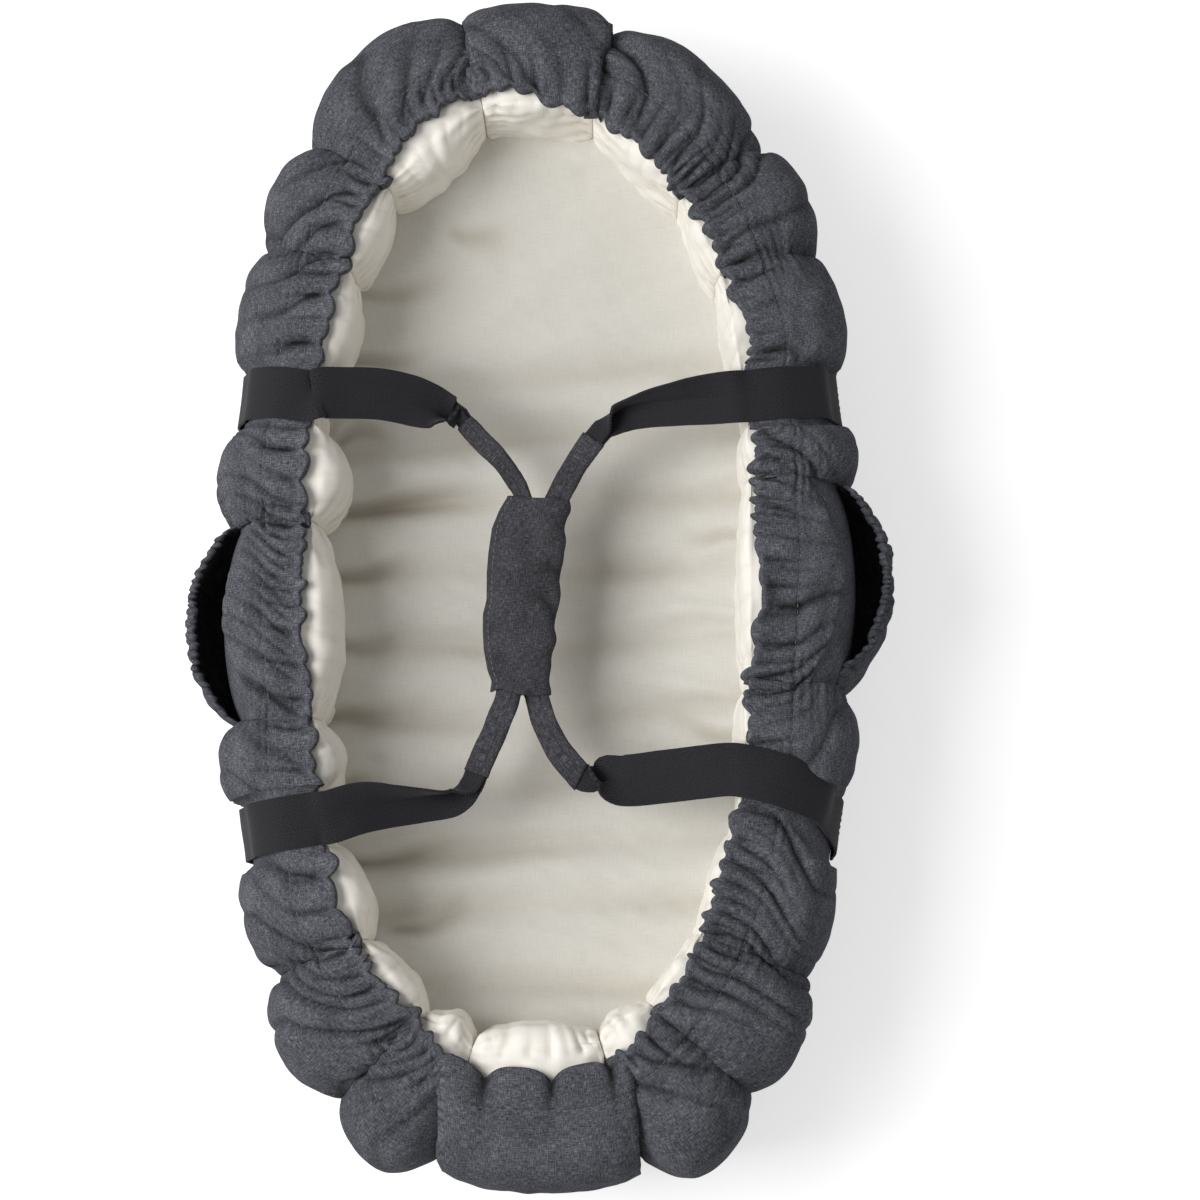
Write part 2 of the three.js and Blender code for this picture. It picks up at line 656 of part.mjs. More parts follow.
function handleStations(route) {
  const curve = new THREE.CatmullRomCurve3(route.map((stop) => stop.place), false, "centripetal");
  const steps = (route.length - 1) * ROUTE_SPLITS;
  const stations = [];
  for (let step = 0; step <= steps; step++) {
    const before = route[Math.floor(step / ROUTE_SPLITS)];
    const after = route[Math.ceil(step / ROUTE_SPLITS)];
    const share = (step % ROUTE_SPLITS) / ROUTE_SPLITS;
    const run = curve.getTangent(step / steps);
    const guide = before.guide.clone().lerp(after.guide, share);
    const up = guide.addScaledVector(run, -guide.dot(run)).normalize();
    const across = new THREE.Vector3().crossVectors(up, run);
    const fold = THREE.MathUtils.lerp(before.fold, after.fold, share);
    stations.push({ origin: curve.getPoint(step / steps), across, up, fold });
  }
  return stations;
}

// The strap's section: flat, or with its one half turned over onto the other
function strapOutline(fold) {
  const turn = (Math.PI * fold) / 3;
  const half = STRAP_WIDTH / 2 - STRAP_BEND;
  const middle = [new THREE.Vector2(half + STRAP_BEND, 0), new THREE.Vector2(STRAP_BEND, 0)];
  let heading = Math.PI;
  for (const length of [STRAP_BEND, STRAP_BEND, half]) {
    heading -= turn;
    const step = new THREE.Vector2(Math.cos(heading) * length, Math.sin(heading) * length);
    middle.push(middle.at(-1).clone().add(step));
  }
  const layers = 2 * STRAP_BEND * Math.sin(Math.PI / 3);
  const shift = new THREE.Vector2((-STRAP_WIDTH / 4) * fold, (-layers / 2) * fold);
  const faceAt = (side) => middle.map((point, index) => {
    const into = point.clone().sub(middle[Math.max(index - 1, 0)]);
    const out = middle[Math.min(index + 1, middle.length - 1)].clone().sub(point);
    const before = index ? into.normalize() : out.clone().normalize();
    const after = index < middle.length - 1 ? out.normalize() : before.clone();
    const square = before.add(after).normalize();
    const bent = index && index < middle.length - 1;
    const stretch = bent ? 1 / Math.cos(turn / 2) : 1;
    const reach = (side * STRAP_THICKNESS * stretch) / 2;
    return new THREE.Vector2(point.x - square.y * reach, point.y + square.x * reach).add(shift);
  });
  return [...faceAt(1), ...faceAt(-1).reverse()];
}

// Grip sleeve: a flattened tube round the folded strap
const FOLDED_HEIGHT = 2 * STRAP_BEND * Math.sin(Math.PI / 3) + STRAP_THICKNESS;
const FOLDED_WIDTH = STRAP_WIDTH / 2 + STRAP_THICKNESS;

function sleeveLoop(clearance) {
  const wide = FOLDED_WIDTH / 2 + clearance;
  const high = FOLDED_HEIGHT / 2 + clearance;
  const low = high * SLEEVE_CORNER_SHARE;
  const short = wide - (high - low);
  const corners = [[wide, low], [short, high], [-short, high], [-wide, low]];
  const mirrored = [[-wide, -low], [-short, -high], [short, -high], [wide, -low]];
  return [...corners, ...mirrored].map(([across, up]) => new THREE.Vector2(across, up));
}

function addHandle(side, upperSeam, lowerSeam, gripAcross) {
  const stations = handleStations(handleRoute(upperSeam, lowerSeam, gripAcross));
  const outlines = stations.map((station) => strapOutline(station.fold));
  addPiece(`${side}_webbing`, sweep(stations, outlines), blackWeb());
  const gripped = stations.filter((station) => station.fold === 1);
  const outer = gripped.map(() => sleeveLoop(SLEEVE_EASE + SLEEVE_WALL));
  const inner = gripped.map(() => sleeveLoop(SLEEVE_EASE));
  addPiece(`${side}_grip_sleeve`, sweepTube(gripped, outer, inner), charcoal());
}

// Sewn end of a strap on the bumper's outer wall, below the place where the strap turns
function addStrapEnd(name, seam) {
  const station = stationAt(seam, 0);
  const lowest = SHOULDER_HEIGHT - ANCHOR_LENGTH;
  const bend = skinLine(station)[3].y;
  const top = SHOULDER_HEIGHT - TOUCH_GAP;
  const heights = [top, bend, lowest];
  const face = (distance) => heights.map((height) => {
    return new THREE.Vector2(skinAcross(station, height) + distance, height);
  });
  const near = STRAP_CLEARANCE;
  const outline = [...face(near + STRAP_THICKNESS), ...face(near).reverse()];
  const along = new THREE.Vector3().crossVectors(UP, station.across);
  const edges = [-STRAP_WIDTH / 2, STRAP_WIDTH / 2].map((shift) => {
    return { ...station, origin: station.origin.clone().addScaledVector(along, shift) };
  });
  addPiece(name, sweep(edges, [outline, outline]), blackWeb());
}

// Wrap: an under layer with its closing edge on the left, and a flap hinged at the right fold
const SLEEVE_HALF_WIDTH = FOLDED_WIDTH / 2 + SLEEVE_EASE + SLEEVE_WALL;
const SLEEVE_HALF_HEIGHT = FOLDED_HEIGHT / 2 + SLEEVE_EASE + SLEEVE_WALL;
const GRIP_REACH_ACROSS = SLEEVE_HALF_WIDTH * Math.cos(gripTilt) + SLEEVE_HALF_HEIGHT * Math.sin(gripTilt);
const GRIP_REACH_UP = SLEEVE_HALF_WIDTH * Math.sin(gripTilt) + SLEEVE_HALF_HEIGHT * Math.cos(gripTilt);
const WRAP_INNER_RIGHT = GRIP_SPACING / 2 + GRIP_REACH_ACROSS + WRAP_EASE;
const WRAP_INNER_LEFT = -WRAP_INNER_RIGHT;
const WRAP_LEFT = WRAP_INNER_LEFT - STRIP_WIDTH - 2 * TOUCH_GAP;
const WRAP_FLOOR = GRIP_HEIGHT - GRIP_REACH_UP - WRAP_EASE;
const WRAP_ROOF = GRIP_HEIGHT + GRIP_REACH_UP + WRAP_EASE;
const CLOSING_GAP = 2 * STRIP_THICKNESS + 3 * TOUCH_GAP;

function thickLine(points, thickness) {
  return [...points, ...offsetLine(points, thickness).reverse()];
}

function wrapStations() {
  const stations = [];
  for (let index = 0; index < WRAP_STATIONS; index++) {
    const share = index / (WRAP_STATIONS - 1);
    const origin = wrapPlace(0, THREE.MathUtils.lerp(-WRAP_LENGTH, WRAP_LENGTH, share) / 2, 0);
    const swell = Math.sin(Math.PI * share) * WRAP_CROWN;
    stations.push({ origin, across: wrapAcross, up: UP, swell });
  }
  return stations;
}

function addWrap() {
  const stations = wrapStations();
  const edge = WRAP_INNER_RIGHT + WRAP_CLOTH / 2;
  const corner = WRAP_CLOTH;
  const back = [
    new THREE.Vector2(WRAP_LEFT, WRAP_FLOOR),
    new THREE.Vector2(WRAP_INNER_LEFT, WRAP_FLOOR),
    new THREE.Vector2(edge - corner, WRAP_FLOOR),
    new THREE.Vector2(edge, WRAP_FLOOR + corner),
    new THREE.Vector2(edge, GRIP_HEIGHT - TOUCH_GAP / 2),
  ];
  addPiece("wrap_back", sweep(stations, stations.map(() => thickLine(back, -WRAP_CLOTH))), charcoal());
  const closed = WRAP_FLOOR + CLOSING_GAP;
  const flaps = stations.map(({ swell }) => {
    const line = [
      new THREE.Vector2(edge, GRIP_HEIGHT + TOUCH_GAP / 2),
      new THREE.Vector2(edge, WRAP_ROOF - corner),
      new THREE.Vector2(GRIP_SPACING / 2, WRAP_ROOF + swell),
      new THREE.Vector2(0, WRAP_ROOF + swell),
      new THREE.Vector2(WRAP_INNER_LEFT, GRIP_HEIGHT + corner),
      new THREE.Vector2(WRAP_INNER_LEFT - TOUCH_GAP, closed),
      new THREE.Vector2(WRAP_LEFT, closed),
    ];
    return thickLine(line, -WRAP_CLOTH);
  });
  addPiece("wrap_flap", sweep(stations, flaps), charcoal());
  const stripLength = WRAP_LENGTH - 2 * STRIP_END_INSET;
  const addStrip = (name, floor) => {
    const strip = new THREE.BoxGeometry(STRIP_WIDTH, stripLength, STRIP_THICKNESS);
    strip.translate(WRAP_LEFT + STRIP_WIDTH / 2, 0, floor + STRIP_THICKNESS / 2);
    strip.rotateZ(-wrapTurn);
    strip.translate(wrapMiddle.x, wrapMiddle.y, 0);
    addPiece(name, strip, hookAndLoop());
  };
  addStrip("loop_strip", WRAP_FLOOR + TOUCH_GAP);
  addStrip("hook_strip", WRAP_FLOOR + 2 * TOUCH_GAP + STRIP_THICKNESS);
}

addPlate("cover_base", (reach) => reach.base, 0, BASE_THICKNESS, charcoal());
addPlate("base_board", (reach) => reach.inner - BOARD_INSET, BUMPER_FOOT, BOARD_THICKNESS, greyBoard());
addPad();
[headChamber, ...leftChambers, footChamber, ...rightChambers].forEach(addChamber);
addCoverPanel("cover_head_panel", [headChamber]);
addCoverPanel("cover_left_wall", leftChambers);
addCoverPanel("cover_foot_panel", [footChamber]);
addCoverPanel("cover_right_wall", rightChambers);
addElastic();
addPocket("left", leftChambers[POCKET_CHAMBER_INDEX]);
addPocket("right", rightChambers[rightChambers.length - 1 - POCKET_CHAMBER_INDEX]);
addStrapEnd("left_strap_end_head", strapSeams[0]);
addStrapEnd("left_strap_end_foot", strapSeams[1]);
addStrapEnd("right_strap_end_head", strapSeams[2]);
addStrapEnd("right_strap_end_foot", strapSeams[3]);
addHandle("left", strapSeams[0], strapSeams[1], -GRIP_SPACING / 2);
addHandle("right", strapSeams[2], strapSeams[3], GRIP_SPACING / 2);
addWrap();

export default lounger;
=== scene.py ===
import math

import bpy
import numpy as np
from mathutils import Matrix, Vector


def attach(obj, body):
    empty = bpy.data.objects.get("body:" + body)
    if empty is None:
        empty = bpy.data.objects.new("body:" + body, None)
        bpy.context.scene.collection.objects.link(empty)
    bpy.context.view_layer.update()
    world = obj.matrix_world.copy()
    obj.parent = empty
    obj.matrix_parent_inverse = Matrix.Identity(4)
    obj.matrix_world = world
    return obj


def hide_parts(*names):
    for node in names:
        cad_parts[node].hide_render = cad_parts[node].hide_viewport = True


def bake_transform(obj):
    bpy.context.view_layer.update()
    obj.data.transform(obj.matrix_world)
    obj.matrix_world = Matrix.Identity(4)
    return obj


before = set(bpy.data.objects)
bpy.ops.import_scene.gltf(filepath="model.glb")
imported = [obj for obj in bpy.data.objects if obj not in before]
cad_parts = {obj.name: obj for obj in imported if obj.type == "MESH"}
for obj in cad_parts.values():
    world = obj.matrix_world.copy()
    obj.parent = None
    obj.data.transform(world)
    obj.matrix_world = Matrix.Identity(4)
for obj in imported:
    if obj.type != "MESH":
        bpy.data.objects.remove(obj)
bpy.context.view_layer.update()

# Sizes in millimetres, the same as the CAD's; a mesh is turned to metres as it is made
MM = 0.001
SPINE_HALF_LENGTH = 380
SPINE_HALF_WIDTH = 193
SPINE_ROUNDNESS = 2.6
SPINE_MIDDLE_Y = -6
SIDE_OUTER_REACH = 38
END_OUTER_REACH = 59
HEM_INSET = 30.5
HEM_CORNER_INSET = 8
SIDE_NEST_INSET = 46
END_NEST_INSET = 49
OUTER_SCALLOP = 14
# How much further each side lobe reaches outward, in the order of the walk: head, left, foot, right
LEFT_LOBE_EXTRAS = [9, 2, 0, 0, 0, 1, 0, 9, 9]
RIGHT_LOBE_EXTRAS = [11, 5, -4, -4, 0, 3, 3, 3, -7]
# How much further each side lobe bulges into the nest, in the same order
LEFT_LOBE_BULGES = [15, 4, 1, 7, 3, 0, 0, 1, 0]
RIGHT_LOBE_BULGES = [0, 0, 0, 0, 1, 0, 1, 6, 14]
STRAP_WIDTH = 38
STRAP_PULL_SHARE = 0.45
STRAP_PULL_REACH = 32
# The cloth comes up from under a strap between these distances from the strap's middle
STRAP_EASE = (STRAP_WIDTH / 2 + 1, STRAP_WIDTH / 2 + 9)
# A slanted strap has turned by this distance down the skin
STRAP_SLANT_LENGTH = 110
CUSP_DEPTH = 4
CROWN_HEIGHT = 181
CROWN_DIP = 13
FOOT_DRAW = 13
FOOT_DRAW_POWER = 1.5
FOOT_DRAW_WAY = np.array([-0.35, -0.94])
HEM_SHIFT = np.array([-4.5, 12])
NEST_SHIFT = np.array([0, 19])
PILLOW_POWER = 0.55
FULL_PILLOW_LENGTH = 62
PANEL_POWER = 0.32
OUTER_SHARES = [[0.8, 0.93], [1, 0.72], [1, 0.4], [0.93, 0.12], [0.6, 0]]
INNER_SHARES = [[0.6, 0], [0.94, 0.2], [1, 0.5], [1.05, 0.72], [1.07, 0.85], [0.93, 0.95], [0.5, 1.005]]
LEFT_SEAM_SHARES = [0.047, 0.166, 0.244, 0.355, 0.45, 0.601, 0.68, 0.782, 0.871, 0.94]
RIGHT_SEAM_SHARES = [0.047, 0.167, 0.249, 0.3545, 0.417, 0.575, 0.672, 0.781, 0.861, 0.936]
UPPER_STRAP_SEAM = 3
LOWER_STRAP_SEAM = 6
POCKET_CHAMBER = 4
COVER_CLOTH = 1
STUFFING_EASE = 0.6
TOUCH_GAP = 0.3
ELASTIC_THICKNESS = 1
HEM_CASING_WIDTH = 26
HEM_FOLD_SHORT = 4
HEM_PLAY = 1.1
BASE_THICKNESS = 2
BOARD_THICKNESS = 3
PAD_MIDDLE_TOP = 84
PAD_SIDE_TOP = 98
PAD_HEAD_TOP = 114
POCKET_DEPTH = 23
POCKET_TOP = 142
POCKET_FULLNESS = 0.6
STRAP_THICKNESS = 1.8
STRAP_CLEARANCE = 0.5
SHOULDER_HEIGHT = 148
ANCHOR_LENGTH = 62
GRIP_HEIGHT = 145
GRIP_SPACING = 17.6
WRAP_LENGTH = 144
WRAP_MIDDLE = np.array([-8, -10])
WRAP_TURN = math.radians(5.9)
# How far the hem's edge stands outward of the even line, at even steps once round from the head over the left
HEM_DRIFTS = [
    4, 6, 7.5, 6, -1, -0.5, -1.5, -2.5, -1, 1, 1.5, -0.5, -0.5, -3, -4, -3, -2, -1, 2, 0.5, -1, 4, 9, 8,
    10, 10, 9, 3, 2, -2, -5, -5.5, -5, -4.5, -3, 1, 2, 0, 3, 5, 6, 1, 0, -3, -6, -9, -9, -7.5,
]

BUMPER_FOOT = BASE_THICKNESS + TOUCH_GAP
HEM_LIFT = STUFFING_EASE + 2 * COVER_CLOTH + ELASTIC_THICKNESS + TOUCH_GAP + HEM_PLAY
STRAP_FLAT = STRAP_WIDTH / 2 + STRAP_CLEARANCE
UP = np.array([0.0, 0.0, 1.0])


# The spine, and what is measured square to it

def oval_spine():
    angle = np.linspace(0, 2 * np.pi, 8001) + np.pi / 2
    x, y = (np.sign(wave) * np.abs(wave) ** (2 / SPINE_ROUNDNESS) for wave in (np.cos(angle), np.sin(angle)))
    points = np.stack([SPINE_HALF_WIDTH * x, SPINE_MIDDLE_Y + SPINE_HALF_LENGTH * y], axis=1)
    steps = np.linalg.norm(np.diff(points, axis=0), axis=1)
    return points, np.concatenate([[0], np.cumsum(steps)])


SPINE_POINTS, SPINE_WALK = oval_spine()
SPINE_LENGTH = SPINE_WALK[-1]
HALF_SPINE = SPINE_LENGTH / 2


def lerp(low, high, share):
    return low + (high - low) * share


def smoothstep(value, low, high):
    share = np.clip((value - low) / (high - low), 0, 1)
    return share * share * (3 - 2 * share)


def spine_at(walked):
    """Places on the spine and the outward directions there, for an array of walked lengths."""
    lap = np.mod(walked, SPINE_LENGTH)
    x, y = (np.interp(lap, SPINE_WALK, SPINE_POINTS[:, axis]) for axis in (0, 1))
    along = y - SPINE_MIDDLE_Y
    power = SPINE_ROUNDNESS - 1
    across_x = (np.abs(x) / SPINE_HALF_WIDTH) ** power / SPINE_HALF_WIDTH * np.sign(x)
    across_y = (np.abs(along) / SPINE_HALF_LENGTH) ** power / SPINE_HALF_LENGTH * np.sign(along)
    length = np.hypot(across_x, across_y)
    return np.stack([x, y], axis=-1), np.stack([across_x / length, across_y / length], axis=-1)


LEFT_SEAMS = [share * HALF_SPINE for share in LEFT_SEAM_SHARES]
RIGHT_SEAMS = [(2 - share) * HALF_SPINE for share in reversed(RIGHT_SEAM_SHARES)]
# How far each strap's middle lies from its seam at the hem and at its sewn end, the way the walked
# length grows
STRAP_SLANTS = {
    ("left", "head"): (0, 0),
    ("left", "foot"): (0, 0),
    ("right", "head"): (0, 0),
    ("right", "foot"): (26, -4),
}
STRAP_SEAMS = {
    ("left", "head"): LEFT_SEAMS[UPPER_STRAP_SEAM],
    ("left", "foot"): LEFT_SEAMS[LOWER_STRAP_SEAM],
    ("right", "head"): RIGHT_SEAMS[-1 - UPPER_STRAP_SEAM],
    ("right", "foot"): RIGHT_SEAMS[-1 - LOWER_STRAP_SEAM],
}


def chamber_of(name, start, end, extra=0, bulge=0, power=PILLOW_POWER):
    pinched = list(STRAP_SEAMS.values())
    lead = STRAP_FLAT if start in pinched else 0
    tail = STRAP_FLAT if end in pinched else 0
    full = end - start - lead - tail
    fullness = min(1, math.sqrt(full / FULL_PILLOW_LENGTH))
    return {"name": name, "start": start, "end": end, "lead": lead, "full": full,
            "power": power, "fullness": fullness, "extra": extra, "bulge": bulge}


def chambers_between(side, seams, extras, bulges):
    return [chamber_of(f"bumper_{side}_{index + 1}", start, end, extra, bulge)
            for index, (start, end, extra, bulge) in enumerate(zip(seams, seams[1:], extras, bulges))]


HEAD_CHAMBER = chamber_of("bumper_head", RIGHT_SEAMS[-1], 2 * HALF_SPINE + LEFT_SEAMS[0], power=PANEL_POWER)
FOOT_CHAMBER = chamber_of("bumper_foot", LEFT_SEAMS[-1], RIGHT_SEAMS[0], power=PANEL_POWER)
LEFT_CHAMBERS = chambers_between("left", LEFT_SEAMS, LEFT_LOBE_EXTRAS, LEFT_LOBE_BULGES)
RIGHT_CHAMBERS = chambers_between("right", RIGHT_SEAMS, RIGHT_LOBE_EXTRAS, RIGHT_LOBE_BULGES)
ALL_CHAMBERS = [HEAD_CHAMBER, *LEFT_CHAMBERS, FOOT_CHAMBER, *RIGHT_CHAMBERS]


def swell_at(walked):
    """How full the stuffing is, 0 in a seam and 1 in the middle of a long chamber, and each lobe's
    extra bulge outward and into the nest."""
    swell, extra, bulge = np.zeros_like(walked), np.zeros_like(walked), np.zeros_like(walked)
    for chamber in ALL_CHAMBERS:
        begin = chamber["start"] + chamber["lead"]
        for lap in (-SPINE_LENGTH, 0, SPINE_LENGTH):
            share = (walked + lap - begin) / chamber["full"]
            inside = (share > 0) & (share < 1)
            wave = np.sin(np.pi * np.clip(share, 0, 1)) ** chamber["power"]
            swell = np.where(inside, chamber["fullness"] * wave, swell)
            extra = np.where(inside, chamber["extra"], extra)
            bulge = np.where(inside, chamber["bulge"], bulge)
    return swell, extra, bulge


def shorter_way(gap):
    """A gap between walked lengths, taken the shorter way round the spine."""
    return np.abs(np.mod(gap + HALF_SPINE, SPINE_LENGTH) - HALF_SPINE)


def seam_distance(walked, seams):
    """How far each walked length is from the nearest of the seams, on either side of it."""
    return np.min([shorter_way(walked - seam) for seam in seams], axis=0)


def reach_at(walked, swell=None, pinch=None):
    """The bumper's reach at walked lengths, outward positive. Swell and pinch can be set from outside,
    and a swell that is set leaves out each lobe's own bulge into the nest."""
    origin, across = spine_at(walked)
    own, extra, bulge = swell_at(walked)
    if swell is None:
        swell = own
    else:
        bulge = 0
    at_end = across[..., 1] ** 2
    at_corner = (2 * across[..., 0] * across[..., 1]) ** 2
    if pinch is None:
        strapped = seam_distance(walked, STRAP_SEAMS.values()) < STRAP_PULL_REACH
        pinch = np.where(strapped, np.minimum(1 - swell, STRAP_PULL_SHARE), 1 - swell)
    hem = across @ HEM_SHIFT - HEM_INSET - HEM_CORNER_INSET * at_corner
    nest = across @ NEST_SHIFT - lerp(SIDE_NEST_INSET, END_NEST_INSET, at_end)
    draw = FOOT_DRAW * np.maximum(0, across @ FOOT_DRAW_WAY) ** FOOT_DRAW_POWER
    full_outer = lerp(SIDE_OUTER_REACH, END_OUTER_REACH, at_end) - draw
    return {
        "origin": origin,
        "across": across,
        "swell": swell,
        "hem": hem,
        "inner": lerp(hem - CUSP_DEPTH, nest - bulge, swell),
        "outer": full_outer - OUTER_SCALLOP * pinch + extra * swell,
        "base": full_outer - OUTER_SCALLOP,
        "top": CROWN_HEIGHT - CROWN_DIP * pinch,
    }


def strap_path(ends, v):
    """Where round the spine a strap's middle lies at a distance down the skin."""
    at_hem, at_wall = STRAP_SLANTS[ends]
    return STRAP_SEAMS[ends] + lerp(at_hem, at_wall, smoothstep(v, 0, STRAP_SLANT_LENGTH))


def clear_of_straps(s, v):
    """0 under a strap and 1 beside it, for walked lengths and distances down the skin."""
    away = [shorter_way(s - strap_path(ends, v)) for ends in STRAP_SEAMS]
    return smoothstep(np.min(away, axis=0), *STRAP_EASE)


def drop_under_straps(s, v, top):
    """How far a strap presses the bumper's crown down."""
    return np.maximum(0, top - CROWN_HEIGHT + CROWN_DIP * STRAP_PULL_SHARE) * (1 - clear_of_straps(s, v))


def section_points(reach, shares, edge):
    return [
        np.stack([lerp(reach["hem"], edge, across), lerp(BUMPER_FOOT, reach["top"], up)], axis=-1)
        for across, up in shares
    ]


def outer_line(reach):
    crown = np.stack([reach["hem"], reach["top"]], axis=-1)
    casing = crown + np.array([HEM_CASING_WIDTH, 0])
    return np.stack([crown, casing, *section_points(reach, OUTER_SHARES, reach["outer"])], axis=-2)


def offset_line(line, distance):
    """Moves the points of a line sideways, square to it, for an array of lines."""
    before = np.concatenate([line[..., :1, :], line[..., :-1, :]], axis=-2)
    after = np.concatenate([line[..., 1:, :], line[..., -1:, :]], axis=-2)
    run = after - before
    run /= np.linalg.norm(run, axis=-1, keepdims=True)
    return line + distance * np.stack([-run[..., 1], run[..., 0]], axis=-1)


def skin_line(reach):
    """The cover's outer face at each station, from the hem's edge down to the base."""
    line = offset_line(outer_line(reach), STUFFING_EASE + COVER_CLOTH)[..., 2:6, :]
    lid = reach["top"] + HEM_LIFT
    hem = np.stack([reach["hem"], lid], axis=-1)
    casing = np.stack([reach["hem"] + HEM_CASING_WIDTH, lid], axis=-1)
    foot = np.stack([reach["base"], np.full_like(lid, BUMPER_FOOT)], axis=-1)
    return np.concatenate([hem[..., None, :], casing[..., None, :], line, foot[..., None, :]], axis=-2)


def curve_through(points, places, closed=False):
    """A smooth curve through the points of each line, read at places counted in points."""
    count = points.shape[-2]
    whole = np.floor(places).astype(int)
    part = (places - whole)[:, None]

    def take(index):
        return points[..., np.mod(index, count) if closed else np.clip(index, 0, count - 1), :]

    a, b, c, d = take(whole - 1), take(whole), take(whole + 1), take(whole + 2)
    bend = 2 * a - 5 * b + 4 * c - d
    twist = 3 * b - a - 3 * c + d
    return 0.5 * (2 * b + (c - a) * part + bend * part**2 + twist * part**3)


def places_along(line, distances, closed=False):
    """Where on a line, counted in its points, the given distances along it fall, and how long the line is."""
    fine = np.linspace(0, line.shape[0] if closed else line.shape[0] - 1, 2000)
    drawn = curve_through(line, fine, closed)
    walked = np.concatenate([[0], np.cumsum(np.linalg.norm(np.diff(drawn, axis=0), axis=1))])
    return np.interp(distances, walked, fine), walked[-1]


def in_space(reach, section):
    """Turns places in the upright planes, outward and up, to places in space."""
    flat = reach["origin"][:, None, :] + reach["across"][:, None, :] * section[..., :1]
    return np.concatenate([flat, section[..., 1:]], axis=-1)


# Uneven values, all from fixed seeds

def random_curve(walked, spacing, seed, low=0.0, high=1.0):
    """A smooth uneven value along a length, with a new random value at each spacing."""
    values = np.random.default_rng(seed).random(4096)
    place = walked / spacing + 40
    whole = np.floor(place).astype(int)
    part = place - whole
    part = part * part * (3 - 2 * part)
    mixed = values[np.mod(whole, 4096)] * (1 - part) + values[np.mod(whole + 1, 4096)] * part
    return lerp(low, high, mixed)


def creases(a, b, size, seed, octaves=3):
    """Soft unevenness over two lengths, from a few dozen crossed waves."""
    rng = np.random.default_rng(seed)
    total = np.zeros(np.broadcast(a, b).shape)
    for octave in range(octaves):
        for _ in range(9):
            heading = rng.random() * 2 * np.pi
            wave = 2 * np.pi / (size * (0.7 + 0.8 * rng.random()) / 2**octave)
            phase = rng.random() * 6.28
            total += np.sin(wave * (a * np.cos(heading) + b * np.sin(heading)) + phase) / 1.9**octave
    return total / 5.2


def gather_phase(walked, pitch, unevenness, seed):
    """Counts gathers along a length; their pitch varies by the unevenness."""
    fine = np.arange(-SPINE_LENGTH, 2 * SPINE_LENGTH, 1.0)
    local = pitch * random_curve(fine, 2.7 * pitch, seed, 1 - unevenness, 1 + unevenness)
    return np.interp(walked, fine, np.cumsum(1 / local))


def per_gather(phase, seed, low, high):
    """One random value for each gather that a phase counts."""
    values = np.random.default_rng(seed).random(4096)
    return lerp(low, high, values[np.mod(np.floor(phase).astype(int), 4096)])


def carve(phase, pitch, seed, down, depths, widths, lengths):
    """Narrow valleys between smooth folds, one at each whole phase, each with its own depth, half-width and
    reach down the cloth; gives how deep the cloth lies, and how near each place is to the bottom of a valley,
    as a mask for painted shade that is stronger in deeper valleys."""
    values = np.random.default_rng(seed).random((4, 4096))
    whole = np.floor(phase).astype(int)
    spans = (depths, widths, lengths)
    depth_sum, low = 0, 0
    for index in (whole, whole + 1):
        own = np.mod(index, 4096)
        away = np.abs(phase - index) * pitch
        depth, width, reach = (lerp(*span, values[row, own]) for row, span in enumerate(spans))
        fade = np.exp(-(down / reach) ** 2)
        depth_sum = depth_sum + depth * fade * np.exp(-np.sqrt(away**2 + 0.5) / width)
        low = low + (0.35 + 0.65 * depth / depths[1]) * fade * np.exp(-(away / (0.4 * width)) ** 2)
    return depth_sum, low


def ridges(phase, sharpness, seed, low=0.4):
    """Round gathers between narrow valleys, each of its own height and leaning its own way, and how near each
    place is to the bottom of a valley, as a mask for painted shade."""
    lean = per_gather(phase, seed, -0.8, 0.8)
    wave = np.abs(np.sin(np.pi * (phase + lean * np.sin(2 * np.pi * phase) / (2 * np.pi))))
    tall = per_gather(phase, seed + 1, low, 1)
    return wave ** sharpness * tall, (1 - wave) ** 2 * (0.4 + 0.6 * tall)


# Meshes

def new_object(name, data):
    piece = bpy.data.objects.new(name, data)
    bpy.context.scene.collection.objects.link(piece)
    return piece


def mesh_piece(name, points, faces, uv=None, valley=None):
    """A piece from points in millimetres and faces; uv gives a place on the cloth for each point, in
    millimetres, and valley how much painted shade darkens it, from 0 to 1, deepest in a fold."""
    mesh = bpy.data.meshes.new(name)
    mesh.from_pydata((np.asarray(points) * MM).tolist(), [], faces)
    mesh.polygons.foreach_set("use_smooth", [True] * len(mesh.polygons))
    if uv is not None:
        layer = mesh.uv_layers.new(name="cloth")
        corner = np.empty(len(mesh.loops), dtype=np.int32)
        mesh.loops.foreach_get("vertex_index", corner)
        layer.data.foreach_set("uv", (np.asarray(uv) * MM).astype(np.float32)[corner].ravel())
    # the valley attribute carries painted shade for the materials
    if valley is not None:
        depth = mesh.attributes.new("valley", "FLOAT", "POINT")
        depth.data.foreach_set("value", np.clip(valley, 0, 1).astype(np.float32).ravel())
    mesh.update()
    return new_object(name, mesh)


def grid_faces(columns, rows, loop_columns=False, loop_rows=False):
    i = np.arange(columns if loop_columns else columns - 1)
    j = np.arange(rows if loop_rows else rows - 1)
    i, j = np.meshgrid(i, j, indexing="ij")
    here, there = i * rows, (i + 1) % columns * rows
    up = (j + 1) % rows
    quads = np.stack([here + j, here + up, there + up, there + j], axis=-1)
    return quads.reshape(-1, 4).tolist()


def normals_of(points, loop_columns=False, loop_rows=False):
    """Directions square to a grid of points, on the side that the grid's faces turn to."""
    def slope(axis, loop):
        if loop:
            return np.roll(points, -1, axis) - np.roll(points, 1, axis)
        return np.gradient(points, axis=axis)
    normal = np.cross(slope(1, loop_rows), slope(0, loop_columns))
    return normal / np.maximum(np.linalg.norm(normal, axis=-1, keepdims=True), 1e-9)


